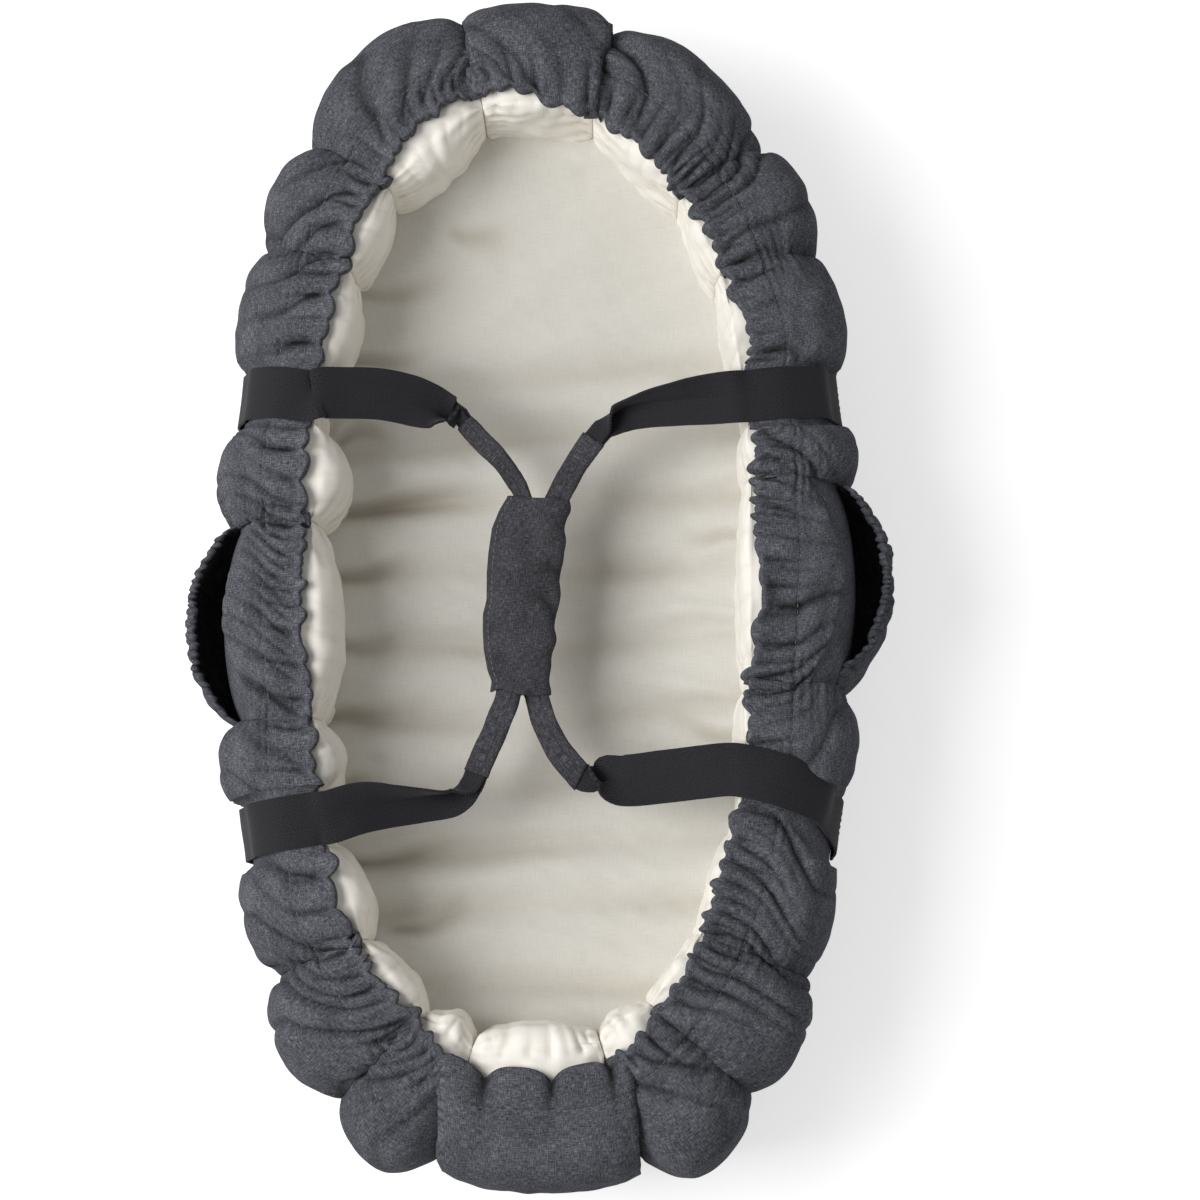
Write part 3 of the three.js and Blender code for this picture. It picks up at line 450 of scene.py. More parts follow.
def cloth_places(a, b):
    """Places on the cloth for a grid, from its lengths along the two ways."""
    return np.stack(np.broadcast_arrays(a, b), axis=-1).reshape(-1, 2)


def add_thickness(piece, thickness):
    """Gives a sheet its thickness towards its back."""
    shell = piece.modifiers.new("cloth thickness", "SOLIDIFY")
    shell.thickness = thickness * MM
    shell.offset = -1
    shell.use_rim = True


def finish_piece(piece, body, material, slot, *nodes):
    piece.data.materials.clear()
    piece.data.materials.append(material)
    if body:
        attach(piece, body)
    if nodes:
        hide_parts(*nodes)
    return piece


# Finishes

def linear(hex_colour):
    """An sRGB hex colour as linear light."""
    parts = [int(hex_colour[i:i + 2], 16) / 255 for i in (1, 3, 5)]
    return [c / 12.92 if c <= 0.04045 else ((c + 0.055) / 1.055) ** 2.4 for c in parts] + [1.0]


def add_node(tree, kind, settings=None, links=None, steps=()):
    """Adds a node: settings are its options, links its sockets with a value or another node's output,
    and steps the (place, hex colour) pairs of a colour ramp."""
    node = tree.nodes.new(kind)
    for option, value in (settings or {}).items():
        setattr(node, option, value)
    for socket, value in (links or {}).items():
        if isinstance(value, bpy.types.Node):
            tree.links.new(value.outputs[0], node.inputs[socket])
        elif isinstance(value, bpy.types.NodeSocket):
            tree.links.new(value, node.inputs[socket])
        else:
            node.inputs[socket].default_value = value
    for index, (place, colour) in enumerate(steps):
        elements = node.color_ramp.elements
        element = elements[index] if index < 2 else elements.new(place)
        element.position = place
        element.color = linear(colour)
    return node


def new_material(name):
    material = bpy.data.materials.new(name)
    material.use_nodes = True
    material.node_tree.nodes.clear()
    return material, material.node_tree


def weave(tree, place, thread, slub, detail):
    """Two crossed sets of uneven yarns, a thread apart, each drawn out along its own way to a slub's
    length."""
    yarns = []
    for scale in ((1 / thread, slub / thread, 1), (slub / thread, 1 / thread, 1)):
        way = add_node(tree, "ShaderNodeMapping", links={"Vector": place, "Scale": scale})
        uneven = {"Vector": way, "Scale": 1.0, "Detail": detail}
        yarns.append(add_node(tree, "ShaderNodeTexNoise", {"noise_dimensions": "2D"}, uneven))
    both = add_node(tree, "ShaderNodeMath", {"operation": "ADD"}, {0: yarns[0], 1: yarns[1]})
    return add_node(tree, "ShaderNodeMath", {"operation": "MULTIPLY"}, {0: both, 1: 0.5})


def canvas_material(name, dark, body, fleck, thread=0.0007):
    """Melange canvas: dark warp with pale slubs across and along, matt and faintly napped; painted shade from
    the valley attribute darkens its folds nearly to black."""
    material, tree = new_material(name)
    place = add_node(tree, "ShaderNodeTexCoord").outputs["UV"]
    yarn = weave(tree, place, thread, 0.16, 2.0)
    patches = {"Vector": place, "Scale": 38.0, "Detail": 3.0}
    cloud = add_node(tree, "ShaderNodeTexNoise", {"noise_dimensions": "2D"}, patches)
    shade = add_node(tree, "ShaderNodeMath", {"operation": "MULTIPLY_ADD"}, {0: cloud, 1: 0.2, 2: -0.1})
    mixed = add_node(tree, "ShaderNodeMath", {"operation": "ADD"}, {0: yarn, 1: shade})
    steps = [(0.3, dark), (0.8, fleck), (0.52, body)]
    colour = add_node(tree, "ShaderNodeValToRGB", links={"Fac": mixed}, steps=steps)
    # painted shade: the valley attribute darkens the canvas in its folds, by up to 0.85
    valley = add_node(tree, "ShaderNodeAttribute", {"attribute_name": "valley"}).outputs["Fac"]
    lit = add_node(tree, "ShaderNodeMath", {"operation": "MULTIPLY_ADD"}, {0: valley, 1: -0.85, 2: 1.0})
    folded = add_node(tree, "ShaderNodeVectorMath", {"operation": "SCALE"}, {0: colour, "Scale": lit})
    bump = add_node(tree, "ShaderNodeBump", links={"Height": yarn, "Strength": 0.4, "Distance": 0.0005})
    shader = add_node(tree, "ShaderNodeBsdfPrincipled", links={
        "Base Color": folded, "Roughness": 0.95, "Specular IOR Level": 0.12, "Normal": bump,
    })
    add_node(tree, "ShaderNodeOutputMaterial", links={"Surface": shader})
    return material


def cotton_material(name, shade, body, painted_fold_shade, thread=0.0006):
    """Undyed plain-weave cotton: soft cream with a faint weave and thicker yarns here and there, drawn
    coarser than the real cloth so that they show. Painted shade from the valley attribute darkens it in its
    folds, most in blue, so that the shade is warm."""
    material, tree = new_material(name)
    place = add_node(tree, "ShaderNodeTexCoord").outputs["UV"]
    yarn = weave(tree, place, thread, 0.05, 1.0)
    colour = add_node(tree, "ShaderNodeValToRGB", links={"Fac": yarn}, steps=[(0.3, shade), (0.6, body)])
    # painted shade: the valley attribute darkens the cotton in its folds, by a warm tint
    valley = add_node(tree, "ShaderNodeAttribute", {"attribute_name": "valley"}).outputs["Fac"]
    loss = {0: valley, 1: painted_fold_shade, 2: (1, 1, 1)}
    lit = add_node(tree, "ShaderNodeVectorMath", {"operation": "MULTIPLY_ADD"}, loss)
    folded = add_node(tree, "ShaderNodeVectorMath", {"operation": "MULTIPLY"}, {0: colour, 1: lit})
    bump = add_node(tree, "ShaderNodeBump", links={"Height": yarn, "Strength": 0.15, "Distance": 0.0003})
    shader = add_node(tree, "ShaderNodeBsdfPrincipled", links={
        "Base Color": folded, "Roughness": 0.88, "Specular IOR Level": 0.2,
        "Sheen Weight": 0.06, "Sheen Roughness": 0.5, "Normal": bump,
    })
    add_node(tree, "ShaderNodeOutputMaterial", links={"Surface": shader})
    return material


def webbing_material(name, dark, light):
    """Black cotton webbing: a herringbone of fine ribs that turn every 6 mm across the strap, dull with
    fluff."""
    rib, chevron = 0.0019, 0.0063
    material, tree = new_material(name)
    place = add_node(tree, "ShaderNodeTexCoord").outputs["UV"]
    axes = add_node(tree, "ShaderNodeSeparateXYZ", links={"Vector": place})
    zigzag = add_node(tree, "ShaderNodeMath", {"operation": "PINGPONG"}, {0: axes.outputs["Y"], 1: chevron})
    slant = add_node(tree, "ShaderNodeMath", {"operation": "ADD"}, {0: axes.outputs["X"], 1: zigzag})
    turns = add_node(tree, "ShaderNodeMath", {"operation": "MULTIPLY"}, {0: slant, 1: 2 * math.pi / rib})
    ribs = add_node(tree, "ShaderNodeMath", {"operation": "SINE"}, {0: turns})
    fuzz = add_node(tree, "ShaderNodeTexNoise", {"noise_dimensions": "2D"}, {"Vector": place, "Scale": 900.0})
    mixed = add_node(tree, "ShaderNodeMath", {"operation": "MULTIPLY_ADD"}, {0: ribs, 1: 0.32, 2: fuzz})
    colour = add_node(tree, "ShaderNodeValToRGB", links={"Fac": mixed}, steps=[(0.25, dark), (0.8, light)])
    bump = add_node(tree, "ShaderNodeBump", links={"Height": mixed, "Strength": 0.5, "Distance": 0.0004})
    shader = add_node(tree, "ShaderNodeBsdfPrincipled", links={
        "Base Color": colour, "Roughness": 0.82, "Specular IOR Level": 0.2,
        "Sheen Weight": 0.08, "Sheen Roughness": 0.5, "Normal": bump,
    })
    add_node(tree, "ShaderNodeOutputMaterial", links={"Surface": shader})
    return material


def grained_material(name, dark, light, grain, strength):
    """Close dull tape, thread, elastic or board: uneven only in its grain."""
    material, tree = new_material(name)
    place = add_node(tree, "ShaderNodeTexCoord").outputs["Object"]
    noise = add_node(tree, "ShaderNodeTexNoise", links={"Vector": place, "Scale": grain, "Detail": 3.0})
    colour = add_node(tree, "ShaderNodeValToRGB", links={"Fac": noise}, steps=[(0.3, dark), (0.7, light)])
    bump = add_node(tree, "ShaderNodeBump", links={"Height": noise, "Strength": strength, "Distance": 0.0004})
    shader = add_node(tree, "ShaderNodeBsdfPrincipled", links={
        "Base Color": colour, "Roughness": 0.85, "Specular IOR Level": 0.3, "Normal": bump,
    })
    add_node(tree, "ShaderNodeOutputMaterial", links={"Surface": shader})
    return material


charcoal_canvas = canvas_material("charcoal melange canvas", "#2f3035", "#54555b", "#85868c")
cream_cotton = cotton_material("undyed cream cotton", "#f0ebe1", "#f6f2ea", (-0.4, -0.45, -0.53))
# The pad's cotton is greyer than the bumper's, and darker as painted shade for its place low in the nest.
quilt_cotton_with_painted_shade = cotton_material("undyed cotton of the quilted pad, darkened by painted shade", "#c9c6be", "#d0cec7", (-0.42, -0.5, -0.6))
black_webbing = webbing_material("black herringbone cotton webbing", "#131316", "#303035")
sewing_thread = grained_material("grey spun sewing thread", "#5a5b60", "#7c7d82", 900, 0.3)
elastic_band = grained_material("white knitted elastic", "#c9c8c2", "#e6e5df", 700, 0.5)
hook_and_loop = grained_material("black hook-and-loop tape", "#141416", "#2c2c30", 1200, 0.9)
padding_canvas = canvas_material("charcoal padding canvas", "#29292c", "#3f3f43", "#66666b")
grey_board = grained_material("grey fibre board", "#a9a496", "#bdb8aa", 300, 0.3)


# Stuffed bumper chambers

def add_caps(points, faces, columns, rows):
    """Closes the two ends of a tube of rows round each column; gives the points with the caps' middles."""
    flat = points.reshape(-1, 3)
    caps = [points[0].mean(axis=0), points[-1].mean(axis=0)]
    head, tail = len(flat), len(flat) + 1
    last = (columns - 1) * rows
    for row in range(rows):
        after = (row + 1) % rows
        faces.append([head, after, row])
        faces.append([tail, last + row, last + after])
    return np.concatenate([flat, caps])


CHAMBER_ROWS = 168
CHAMBER_STEP = 2
# How much closer the stations stand by the seams than in the middle
CLOSER_BY_SEAMS_SHARE = 0.6
PUCKER_PITCH = 15
PUCKER_DEPTH = 4.6
PUCKER_LENGTH = 22
NEST_GATHER_PITCH = 21
# The stuffing lies this much lower where the cover hides it
COVERED_EASE = 6.5
# A strap's pull fades out by about this distance from the hem
STRAP_DROP_FADE = 60


def chamber_puckers(s, around, start, end):
    """Puckers that run into a chamber from its two seams: how far they stand out, and the painted shade in
    their valleys.
    """
    seed = int(start)
    out, valley = np.zeros_like(s), np.zeros_like(s)
    for side, away in enumerate([s - start, end - s]):
        bend = 9 * np.sin(away / 19 + side) + 5 * np.sin(around / 31 + seed)
        phase = gather_phase(around + bend * smoothstep(away, 2, 40), PUCKER_PITCH, 0.5, seed + side)
        reaching = per_gather(phase, seed + 5 + side, 0.45, 1.5) * PUCKER_LENGTH
        ridge, low = ridges(phase, 0.8, seed + 7 + side, 0.25)
        near = np.exp(-(away / reaching) ** 1.4) * smoothstep(away, 0, 5)
        out += PUCKER_DEPTH * (ridge - 0.55) * near
        valley += 0.8 * low * near
    return out, valley


def nest_gathers(s, from_hem, reach):
    """Gathers that run down from the hem on the nest's side, deeper at the foot; gives their depth and its
    scale, and the painted shade in their valleys and its scale, stronger at the foot.
    """
    near_foot = smoothstep(-reach["across"][:, 1], 0.75, 0.98)[:, None]
    lean = 7 * np.sin(from_hem / 24 + s / 33)
    deep, low = carve(
        gather_phase(s + lean, NEST_GATHER_PITCH, 0.5, 24), NEST_GATHER_PITCH, 25, from_hem,
        depths=(0.3, 4.2), widths=(3.5, 7), lengths=(22, 48))
    return deep, lerp(0.75, 1.9, near_foot), 0.5 * low, lerp(0.7, 1.2, near_foot)


def chamber_piece(chamber):
    start, end = chamber["start"] + TOUCH_GAP / 2, chamber["end"] - TOUCH_GAP / 2
    columns = int((end - start) / CHAMBER_STEP) + 1
    even = np.linspace(0, 1, columns)
    walked = lerp(start, end, lerp(even, (1 - np.cos(np.pi * even)) / 2, CLOSER_BY_SEAMS_SHARE))
    reach = reach_at(walked)
    inner = np.stack(section_points(reach, INNER_SHARES, reach["inner"]), axis=-2)
    outer = outer_line(reach)
    loop = np.concatenate([outer, inner], axis=-2)
    middle = loop[columns // 2]
    _, length = places_along(middle, [0], closed=True)
    down = np.linspace(0, length, CHAMBER_ROWS, endpoint=False)
    places, _ = places_along(middle, down, closed=True)
    points = in_space(reach, curve_through(loop, places, closed=True))
    normal = normals_of(points, loop_rows=True)
    s, around = np.broadcast_arrays(walked[:, None], down[None, :])
    from_hem = length - around
    near_hem = np.minimum(around, from_hem)
    calm = smoothstep(np.minimum(s - start, end - s), 0, 14)
    # valley collects painted shade in the valleys of the puckers and gathers
    out, valley = chamber_puckers(s, around, start, end)
    deep, deeper, low, painted_shade_scale = nest_gathers(s, from_hem, reach)
    out -= deep * calm * deeper
    valley += low * calm * painted_shade_scale
    outer_length = float(np.sum(np.linalg.norm(np.diff(outer[columns // 2], axis=0), axis=1)))
    covered = smoothstep(around, 4, 26) * (1 - smoothstep(around, outer_length - 30, outer_length))
    out -= COVERED_EASE * covered
    seed = int(start)
    out += (1.7 * creases(s, around, 62, seed + 1, 2) + 0.5 * creases(s, around, 20, seed + 2, 1)) * calm
    points = points + normal * out[..., None]
    drop = drop_under_straps(s, near_hem, reach["top"][:, None]) * np.exp(-(near_hem / STRAP_DROP_FADE) ** 2)
    points[..., 2] = np.maximum(points[..., 2] - drop, BUMPER_FOOT)
    faces = grid_faces(columns, CHAMBER_ROWS, loop_rows=True)
    every = add_caps(points, faces, columns, CHAMBER_ROWS)
    uv = cloth_places(s, around)
    capped = np.concatenate([uv, uv[:1], uv[-1:]])
    piece = mesh_piece(chamber["name"] + "_stuffed", every, faces, capped, np.append(valley, [0, 0]))
    finish_piece(piece, "carrier", cream_cotton, "nest_cotton", chamber["name"])


for chamber in ALL_CHAMBERS:
    chamber_piece(chamber)


# Sleeping pad: creases run in from the sides, and soft bands cross the whole floor

PAD_SPOKES = 620
PAD_RINGS = 130
PAD_LIFT = 26
PAD_ROUNDING_SHARE = 0.01
PAD_TUCK = 6
PAD_FULLNESS = 0.8
# Each crease from one place to another, with its depth and half-width
PAD_CREASES = [
    [(-146, 172), (-84, 183), 2.6, 4.2], [(-150, 116), (-112, 127), 2.8, 5],
    [(-160, 62), (-28, 72), 3.4, 5.5], [(-158, 14), (-88, 18), 2.4, 4.5],
    [(-158, -41), (-104, -37), 2.4, 4.5], [(-160, -97), (-110, -89), 2.8, 5],
    [(-152, -145), (-118, -144), 2.6, 4.5], [(-136, -199), (-40, -190), 3.2, 5.5],
    [(-136, 226), (-60, 236), 1.6, 6], [(-104, -252), (-48, -236), 2.4, 5],
    [(150, 40), (104, 46), 1.8, 5], [(150, -106), (96, -98), 2.2, 6],
    [(140, 150), (96, 160), 1.8, 5], [(-62, 276), (-20, 262), 0.8, 8],
]
# The same for the soft ridges between them
PAD_RIDGES = [
    [(158, -17), (44, -14), 2.8, 7], [(156, -75), (22, -60), 2.6, 8], [(152, 92), (70, 88), 1.8, 8],
    [(-150, 92), (-60, 98), 2.2, 9], [(-150, -66), (-66, -64), 2, 9], [(-148, -120), (-74, -116), 2, 8],
]
# Where the soft bands cross the pad's middle
PAD_BANDS = [165, 118, 70, 17, -38, -92, -144, -193, -234, -294]


def crease_height(x, y, start, end, depth, width):
    """A soft valley from one place to another, with the cloth pushed up on its lower side; gives the rise,
    and the valley's mask for painted shade.
    """
    start, end = np.array(start, dtype=float), np.array(end, dtype=float)
    run = end - start
    length = np.linalg.norm(run)
    run /= length
    along = ((x - start[0]) * run[0] + (y - start[1]) * run[1]) / length
    side = (x - start[0]) * -run[1] + (y - start[1]) * run[0]
    side = side + 3.2 * np.sin(along * 5.1 + start[1] / 37)
    spread = width * (0.7 + 1.1 * np.clip(along, 0, 1.4))
    valley = np.exp(-(side / spread) ** 2)
    swell = np.exp(-((side - 1.9 * spread) / (1.5 * spread)) ** 2)
    fade = smoothstep(along, -0.25, 0.05) * (1 - smoothstep(along, 0.35, 1.15))
    return depth * fade * (0.55 * swell - valley), fade * valley


def pad_height(x, y, ring, edge_top):
    """How high the pad's cloth lies with its creases, ridges and bands, and its painted shade: more in the
    creases and bands, less on the ridges.
    """
    height = lerp(PAD_MIDDLE_TOP, edge_top, ring ** 3)
    shade = np.zeros_like(height)
    for start, end, depth, width in PAD_CREASES:
        rise, low = crease_height(x, y, start, end, 2.1 * depth, width)
        height, shade = height + rise, shade + 0.42 * low
    for start, end, lift, width in PAD_RIDGES:
        rise, low = crease_height(x, y, start, end, 1.7 * lift, width)
        height, shade = height - rise, shade - 0.1 * low
    # Each band sinks the cloth and is painted with shade along it.
    for index, band in enumerate(PAD_BANDS):
        line = y - band - 0.05 * (x + 60) - 4 * np.sin(x / 52 + index)
        deep = 2.6 + 1.4 * np.sin(x / 39 + 2.1 * index)
        height = height - 1.5 * deep * np.exp(-(line / 11) ** 2) * smoothstep(x, 150, -60)
        height = height - 3.2 * np.exp(-(line / 13) ** 2)
        shade = shade + (0.075 * deep + 0.03) * np.exp(-((line + 3) / 10) ** 2)
    return height + 1.3 * creases(x / 2.2, y, 55, 5, 2) + 0.4 * creases(x / 1.6, y, 17, 6, 1), shade


def pad_piece():
    walked = np.linspace(0, SPINE_LENGTH, PAD_SPOKES, endpoint=False)
    reach = reach_at(walked)
    even = reach_at(walked, np.full(PAD_SPOKES, PAD_FULLNESS))
    rim = reach["origin"] + reach["across"] * (reach["inner"] + PAD_TUCK)[:, None]
    smooth = reach["origin"] + reach["across"] * (even["inner"] - STUFFING_EASE)[:, None]
    floor = BUMPER_FOOT + BOARD_THICKNESS + TOUCH_GAP
    share = np.sin(np.linspace(0, np.pi / 2, PAD_RINGS))[None, :, None] ** 1.1
    middle = np.array([0, SPINE_MIDDLE_Y])
    outline = lerp((smooth - middle)[:, None, :], (rim - middle)[:, None, :], share ** 10)
    flat = outline * share + middle
    x, y, ring = flat[..., 0], flat[..., 1], share[..., 0]
    edge_top = lerp(PAD_SIDE_TOP, PAD_HEAD_TOP, np.maximum(0, reach["across"][:, 1]) ** 2)[:, None]
    height, shade = pad_height(x, y, ring, edge_top)
    rounding = np.clip((ring - 1 + PAD_ROUNDING_SHARE) / PAD_ROUNDING_SHARE, 0, 1)
    height = lerp(floor + PAD_LIFT, height, np.sqrt(1 - rounding ** 2))
    top = np.concatenate([flat, height[..., None]], axis=-1)[:, 1:]
    low = np.concatenate([rim, np.full((PAD_SPOKES, 1), floor + PAD_LIFT / 2)], axis=1)
    base = np.concatenate([middle + (rim - middle) * 0.97, np.full((PAD_SPOKES, 1), floor)], axis=1)
    points = np.concatenate([top, low[:, None], base[:, None]], axis=1)
    rows = points.shape[1]
    faces = grid_faces(PAD_SPOKES, rows, loop_columns=True)
    crown, under = PAD_SPOKES * rows, PAD_SPOKES * rows + 1
    for spoke in range(PAD_SPOKES):
        after = (spoke + 1) % PAD_SPOKES
        faces.append([crown, spoke * rows, after * rows])
        faces.append([under, after * rows + rows - 1, spoke * rows + rows - 1])
    centre = [[*middle, height[:, 0].mean()], [*middle, floor]]
    every = np.concatenate([points.reshape(-1, 3), centre])
    shade = np.concatenate([shade[:, 1:], np.zeros((PAD_SPOKES, 2))], axis=1)
    piece = mesh_piece("sleeping_pad_quilt", every, faces, every[:, :2], np.append(shade, [0, 0]))
    finish_piece(piece, "carrier", quilt_cotton_with_painted_shade, "nest_cotton", "sleeping_pad")


pad_piece()


# Threads: rows of short stitches that lie on the cloth

STITCH_LENGTH = 3.4
STITCH_GAP = 1.1
THREAD_RADIUS = 0.34
BOX_THREAD_RADIUS = 0.3
# Each stitch is a bent bar: four corners at each of four places along it
STITCH_POINTS = 16


def sew(store, line, normals, radius=THREAD_RADIUS):
    """Adds a row of stitches along a line of points, whose middles lift along the directions given."""
    line, normals = np.asarray(line, dtype=float), np.asarray(normals, dtype=float)
    walked = np.concatenate([[0], np.cumsum(np.linalg.norm(np.diff(line, axis=0), axis=1))])
    count = max(1, int(walked[-1] / (STITCH_LENGTH + STITCH_GAP)))
    middles = (np.arange(count) + 0.5) * walked[-1] / count
    along = np.array([-0.5, -0.25, 0.25, 0.5]) * STITCH_LENGTH
    sunk = np.array([-1.0, 0.6, 0.6, -1.0]) * radius
    at = middles[:, None] + along[None, :]
    place = np.stack([np.interp(at, walked, line[:, axis]) for axis in range(3)], axis=-1)
    up = np.stack([np.interp(at, walked, normals[:, axis]) for axis in range(3)], axis=-1)
    up /= np.linalg.norm(up, axis=-1, keepdims=True)
    run = np.gradient(place, axis=1)
    side = np.cross(run, up)
    side /= np.maximum(np.linalg.norm(side, axis=-1, keepdims=True), 1e-9)
    place = place + up * sunk[None, :, None]
    ring = [place + radius * (side * a + up * b) for a, b in ((1, 0), (0, 1), (-1, 0), (0, -1))]
    points = np.stack(ring, axis=2).reshape(-1, 3)
    first = store["count"] + np.arange(count) * STITCH_POINTS
    for base in first:
        for step in range(3):
            for corner in range(4):
                here, there = base + 4 * step + corner, base + 4 * step + (corner + 1) % 4
                store["faces"].append([here, there, there + 4, here + 4])
        store["faces"].append([base + 3, base + 2, base + 1, base])
        store["faces"].append([base + 12, base + 13, base + 14, base + 15])
    store["points"].append(points)
    store["count"] += len(points)


def new_store():
    return {"points": [], "faces": [], "count": 0}


def thread_piece(name, store, body, slot):
    piece = mesh_piece(name, np.concatenate(store["points"]), store["faces"])
    finish_piece(piece, body, sewing_thread, slot)


# Cover: a skin over the chambers, gathered at the hem by the elastic in its casing

RUFFLE_PITCH = 15
RUFFLE_DEPTH = 8
FOLD_PITCH = 25
FOLD_DEPTH = 14
FOLD_CROWN = 5
HEM_SCALLOP = 6.5
STRAP_PRESS = 2.6
# How far a fold may sink into the skin, in the casing and below it, and how soon it changes
CASING_SINK = 1.2
FOLD_SINK = 6
SINK_EASE = 16
TUCK_PITCH = 33
TUCK_HEIGHT = 8
PANEL_SWELL = 0.72
CASING_STITCH = 31
WALL_STEP = 1.5
POCKET_CALM = 58
POCKET_OPEN_CALM = 98


def down_the_skin(length):
    return np.concatenate([
        np.arange(0, 36, 1.8), np.arange(36, 112, 3.2), np.linspace(112, length, 18),
    ])


def panel_tucks(s, v):
    """A few round tucks at a smooth panel's hem; gives how far they stand out, how far they reach in, and the
    painted shade in the valleys between them.
    """
    count = gather_phase(s + 0.05 * v * np.sin(s / 29), TUCK_PITCH, 0.3, 13)
    tuck, low = ridges(count, 0.6, 14, 0.55)
    fade = np.exp(-(v / per_gather(count, 15, 22, 40)) ** 2)
    return TUCK_HEIGHT * (tuck - 0.3) * fade, 2.2 * tuck - 1.3, 1.3 * low * fade


def round_lobes(phase, seed, low, high):
    """A round lobe for each gather, fuller on one side, of its own size."""
    share = np.mod(phase, 1) ** per_gather(phase, seed, 0.6, 1.7)
    return np.sin(np.pi * share) ** 0.6 * per_gather(phase, seed + 1, low, high)


def wall_gathers(s, v):
    """Gathers of the side walls: a crimped casing at the hem, and below it smooth folds between deep valleys;
    gives how far they rise, how the hem scallops, and the painted shade in the valleys."""
    slant = np.minimum(v, 85) * 0.55 * np.sin(s / 83 + 2 * np.sin(s / 205))
    drift = slant + 7 * np.sin(v / 33 + s / 71) * smoothstep(v, 4, 40)
    ruffle_phase = gather_phase(s + 0.3 * drift, RUFFLE_PITCH, 0.7, 12)
    fold_phase = gather_phase(s + drift, FOLD_PITCH, 0.6, 11)
    ruffle, ruffle_low = carve(ruffle_phase, RUFFLE_PITCH, 14, v, (0.5, RUFFLE_DEPTH), (2.2, 4.4), (14, 46))
    fold, fold_low = carve(fold_phase, FOLD_PITCH, 16, v, (1, FOLD_DEPTH), (4, 9), (35, 140))
    opened = smoothstep(v, 0, 7)
    lobe = round_lobes(ruffle_phase, 18, 0.2, 1.5)
    crest = 3 * lobe * np.exp(-(v / 20) ** 2)
    raised = FOLD_CROWN + crest - ruffle * opened - fold * smoothstep(v, 0, 14)
    scallop = 0.75 * lobe + 0.5 * round_lobes(fold_phase, 19, 0.1, 1.6) - 0.78
    return raised, scallop, ruffle_low * opened + fold_low * smoothstep(v, 2, 14)


# Puckers that run out from each seam across the wall: how far they stand out, and the painted shade in their
# valleys.
def seam_puckers(v, from_seam):
    phase = gather_phase(v + 6 * np.sin(from_seam / 13), 13, 0.5, 31)
    ridge, low = ridges(phase, 0.9, 33, 0.2)
    near = np.exp(-(from_seam / per_gather(phase, 35, 8, 26)) ** 1.3) * smoothstep(from_seam, 0, 5)
    return 3.6 * (ridge - 0.4) * near, 0.6 * low * near


FOOT_SEAMS = [FOOT_CHAMBER["start"], FOOT_CHAMBER["end"]]
# The foot panel's sides lie over the walls beside it by this much, and stand a little off them
PANEL_OVERLAP = 13
PANEL_LIFT = 4
PANEL_OVERLAP_FADE = 75
PANEL_PUFF = 2.5
PANEL_EDGE_STEP = 1.2
WALL_PUFF = 4
CASING_GROOVE = 1.1
CASING_GROOVE_HALF_WIDTH = 1.7
# The cover bellies out between these distances down the skin
BELLY_START = 18
BELLY_LENGTH = 150
HEM_FOLD = HEM_CASING_WIDTH - HEM_FOLD_SHORT
HEM_STEPS = (np.arange(len(HEM_DRIFTS)) + 0.5) * SPINE_LENGTH / len(HEM_DRIFTS)
# How far down the skin the hem's scallops, its droop and its drift fade out
SCALLOP_FADE = 9
DROOP_FADE = 6
DRIFT_FADE = 34
HEM_DROOP = 1.8
POCKET_CALM_EASE = 14
BASE_CALM = 35
CANVAS_THICKNESS = 0.9


def calm_cloth(walked, v, length):
    """1 where the cover is free to fold, and 0 behind a pocket and along the base's seam."""
    pocketed, open_mouth = np.zeros_like(walked), np.zeros_like(walked)
    for chambers in (LEFT_CHAMBERS, RIGHT_CHAMBERS):
        start, end = (chambers[POCKET_CHAMBER][key] for key in ("start", "end"))
        inside = smoothstep(walked, start - 2, start + 6)
        pocketed += inside * (1 - smoothstep(walked, end - 6, end + 2))
        open_mouth += np.sin(np.pi * np.clip((walked - start) / (end - start), 0, 1))
    calm_from = lerp(POCKET_CALM, POCKET_OPEN_CALM, open_mouth)[:, None]
    behind_pocket = pocketed[:, None] * smoothstep(v - calm_from, -POCKET_CALM_EASE, 0)
    return (1 - behind_pocket) * (1 - smoothstep(v, length - BASE_CALM, length))


def cover_relief(s, v, own, free, from_seam, panel):
    """How far the cover stands out from its smooth skin, how its hem ruffles, and the painted shade in its
    folds."""
    raised, ruffle, valley = panel_tucks(s, v) if panel == "smooth" else wall_gathers(s, v)
    belly = np.sin(np.pi * np.clip((v - BELLY_START) / BELLY_LENGTH, 0, 1))
    if panel:
        puff = PANEL_PUFF * belly * smoothstep(from_seam, 0, 12)
    else:
        puff = WALL_PUFF * own[:, None] * belly ** 1.2
    groove = -CASING_GROOVE * np.exp(-((v - CASING_STITCH) / CASING_GROOVE_HALF_WIDTH) ** 2)
    soft = (1.4 * creases(s, v, 52, 41, 2) + 0.5 * creases(s, v, 19, 43, 1)) * smoothstep(v, 20, 60)
    pucker, pucker_low = seam_puckers(v, from_seam)
    seamed = smoothstep(v, 8, 36) * (0.35 if panel else 1)
    pressed = STRAP_PRESS * (1 - free) * smoothstep(v, HEM_CASING_WIDTH, 60)
    out = (raised + pucker * seamed + soft + puff) * free + groove - pressed
    return out, ruffle, (valley + pucker_low * seamed) * free


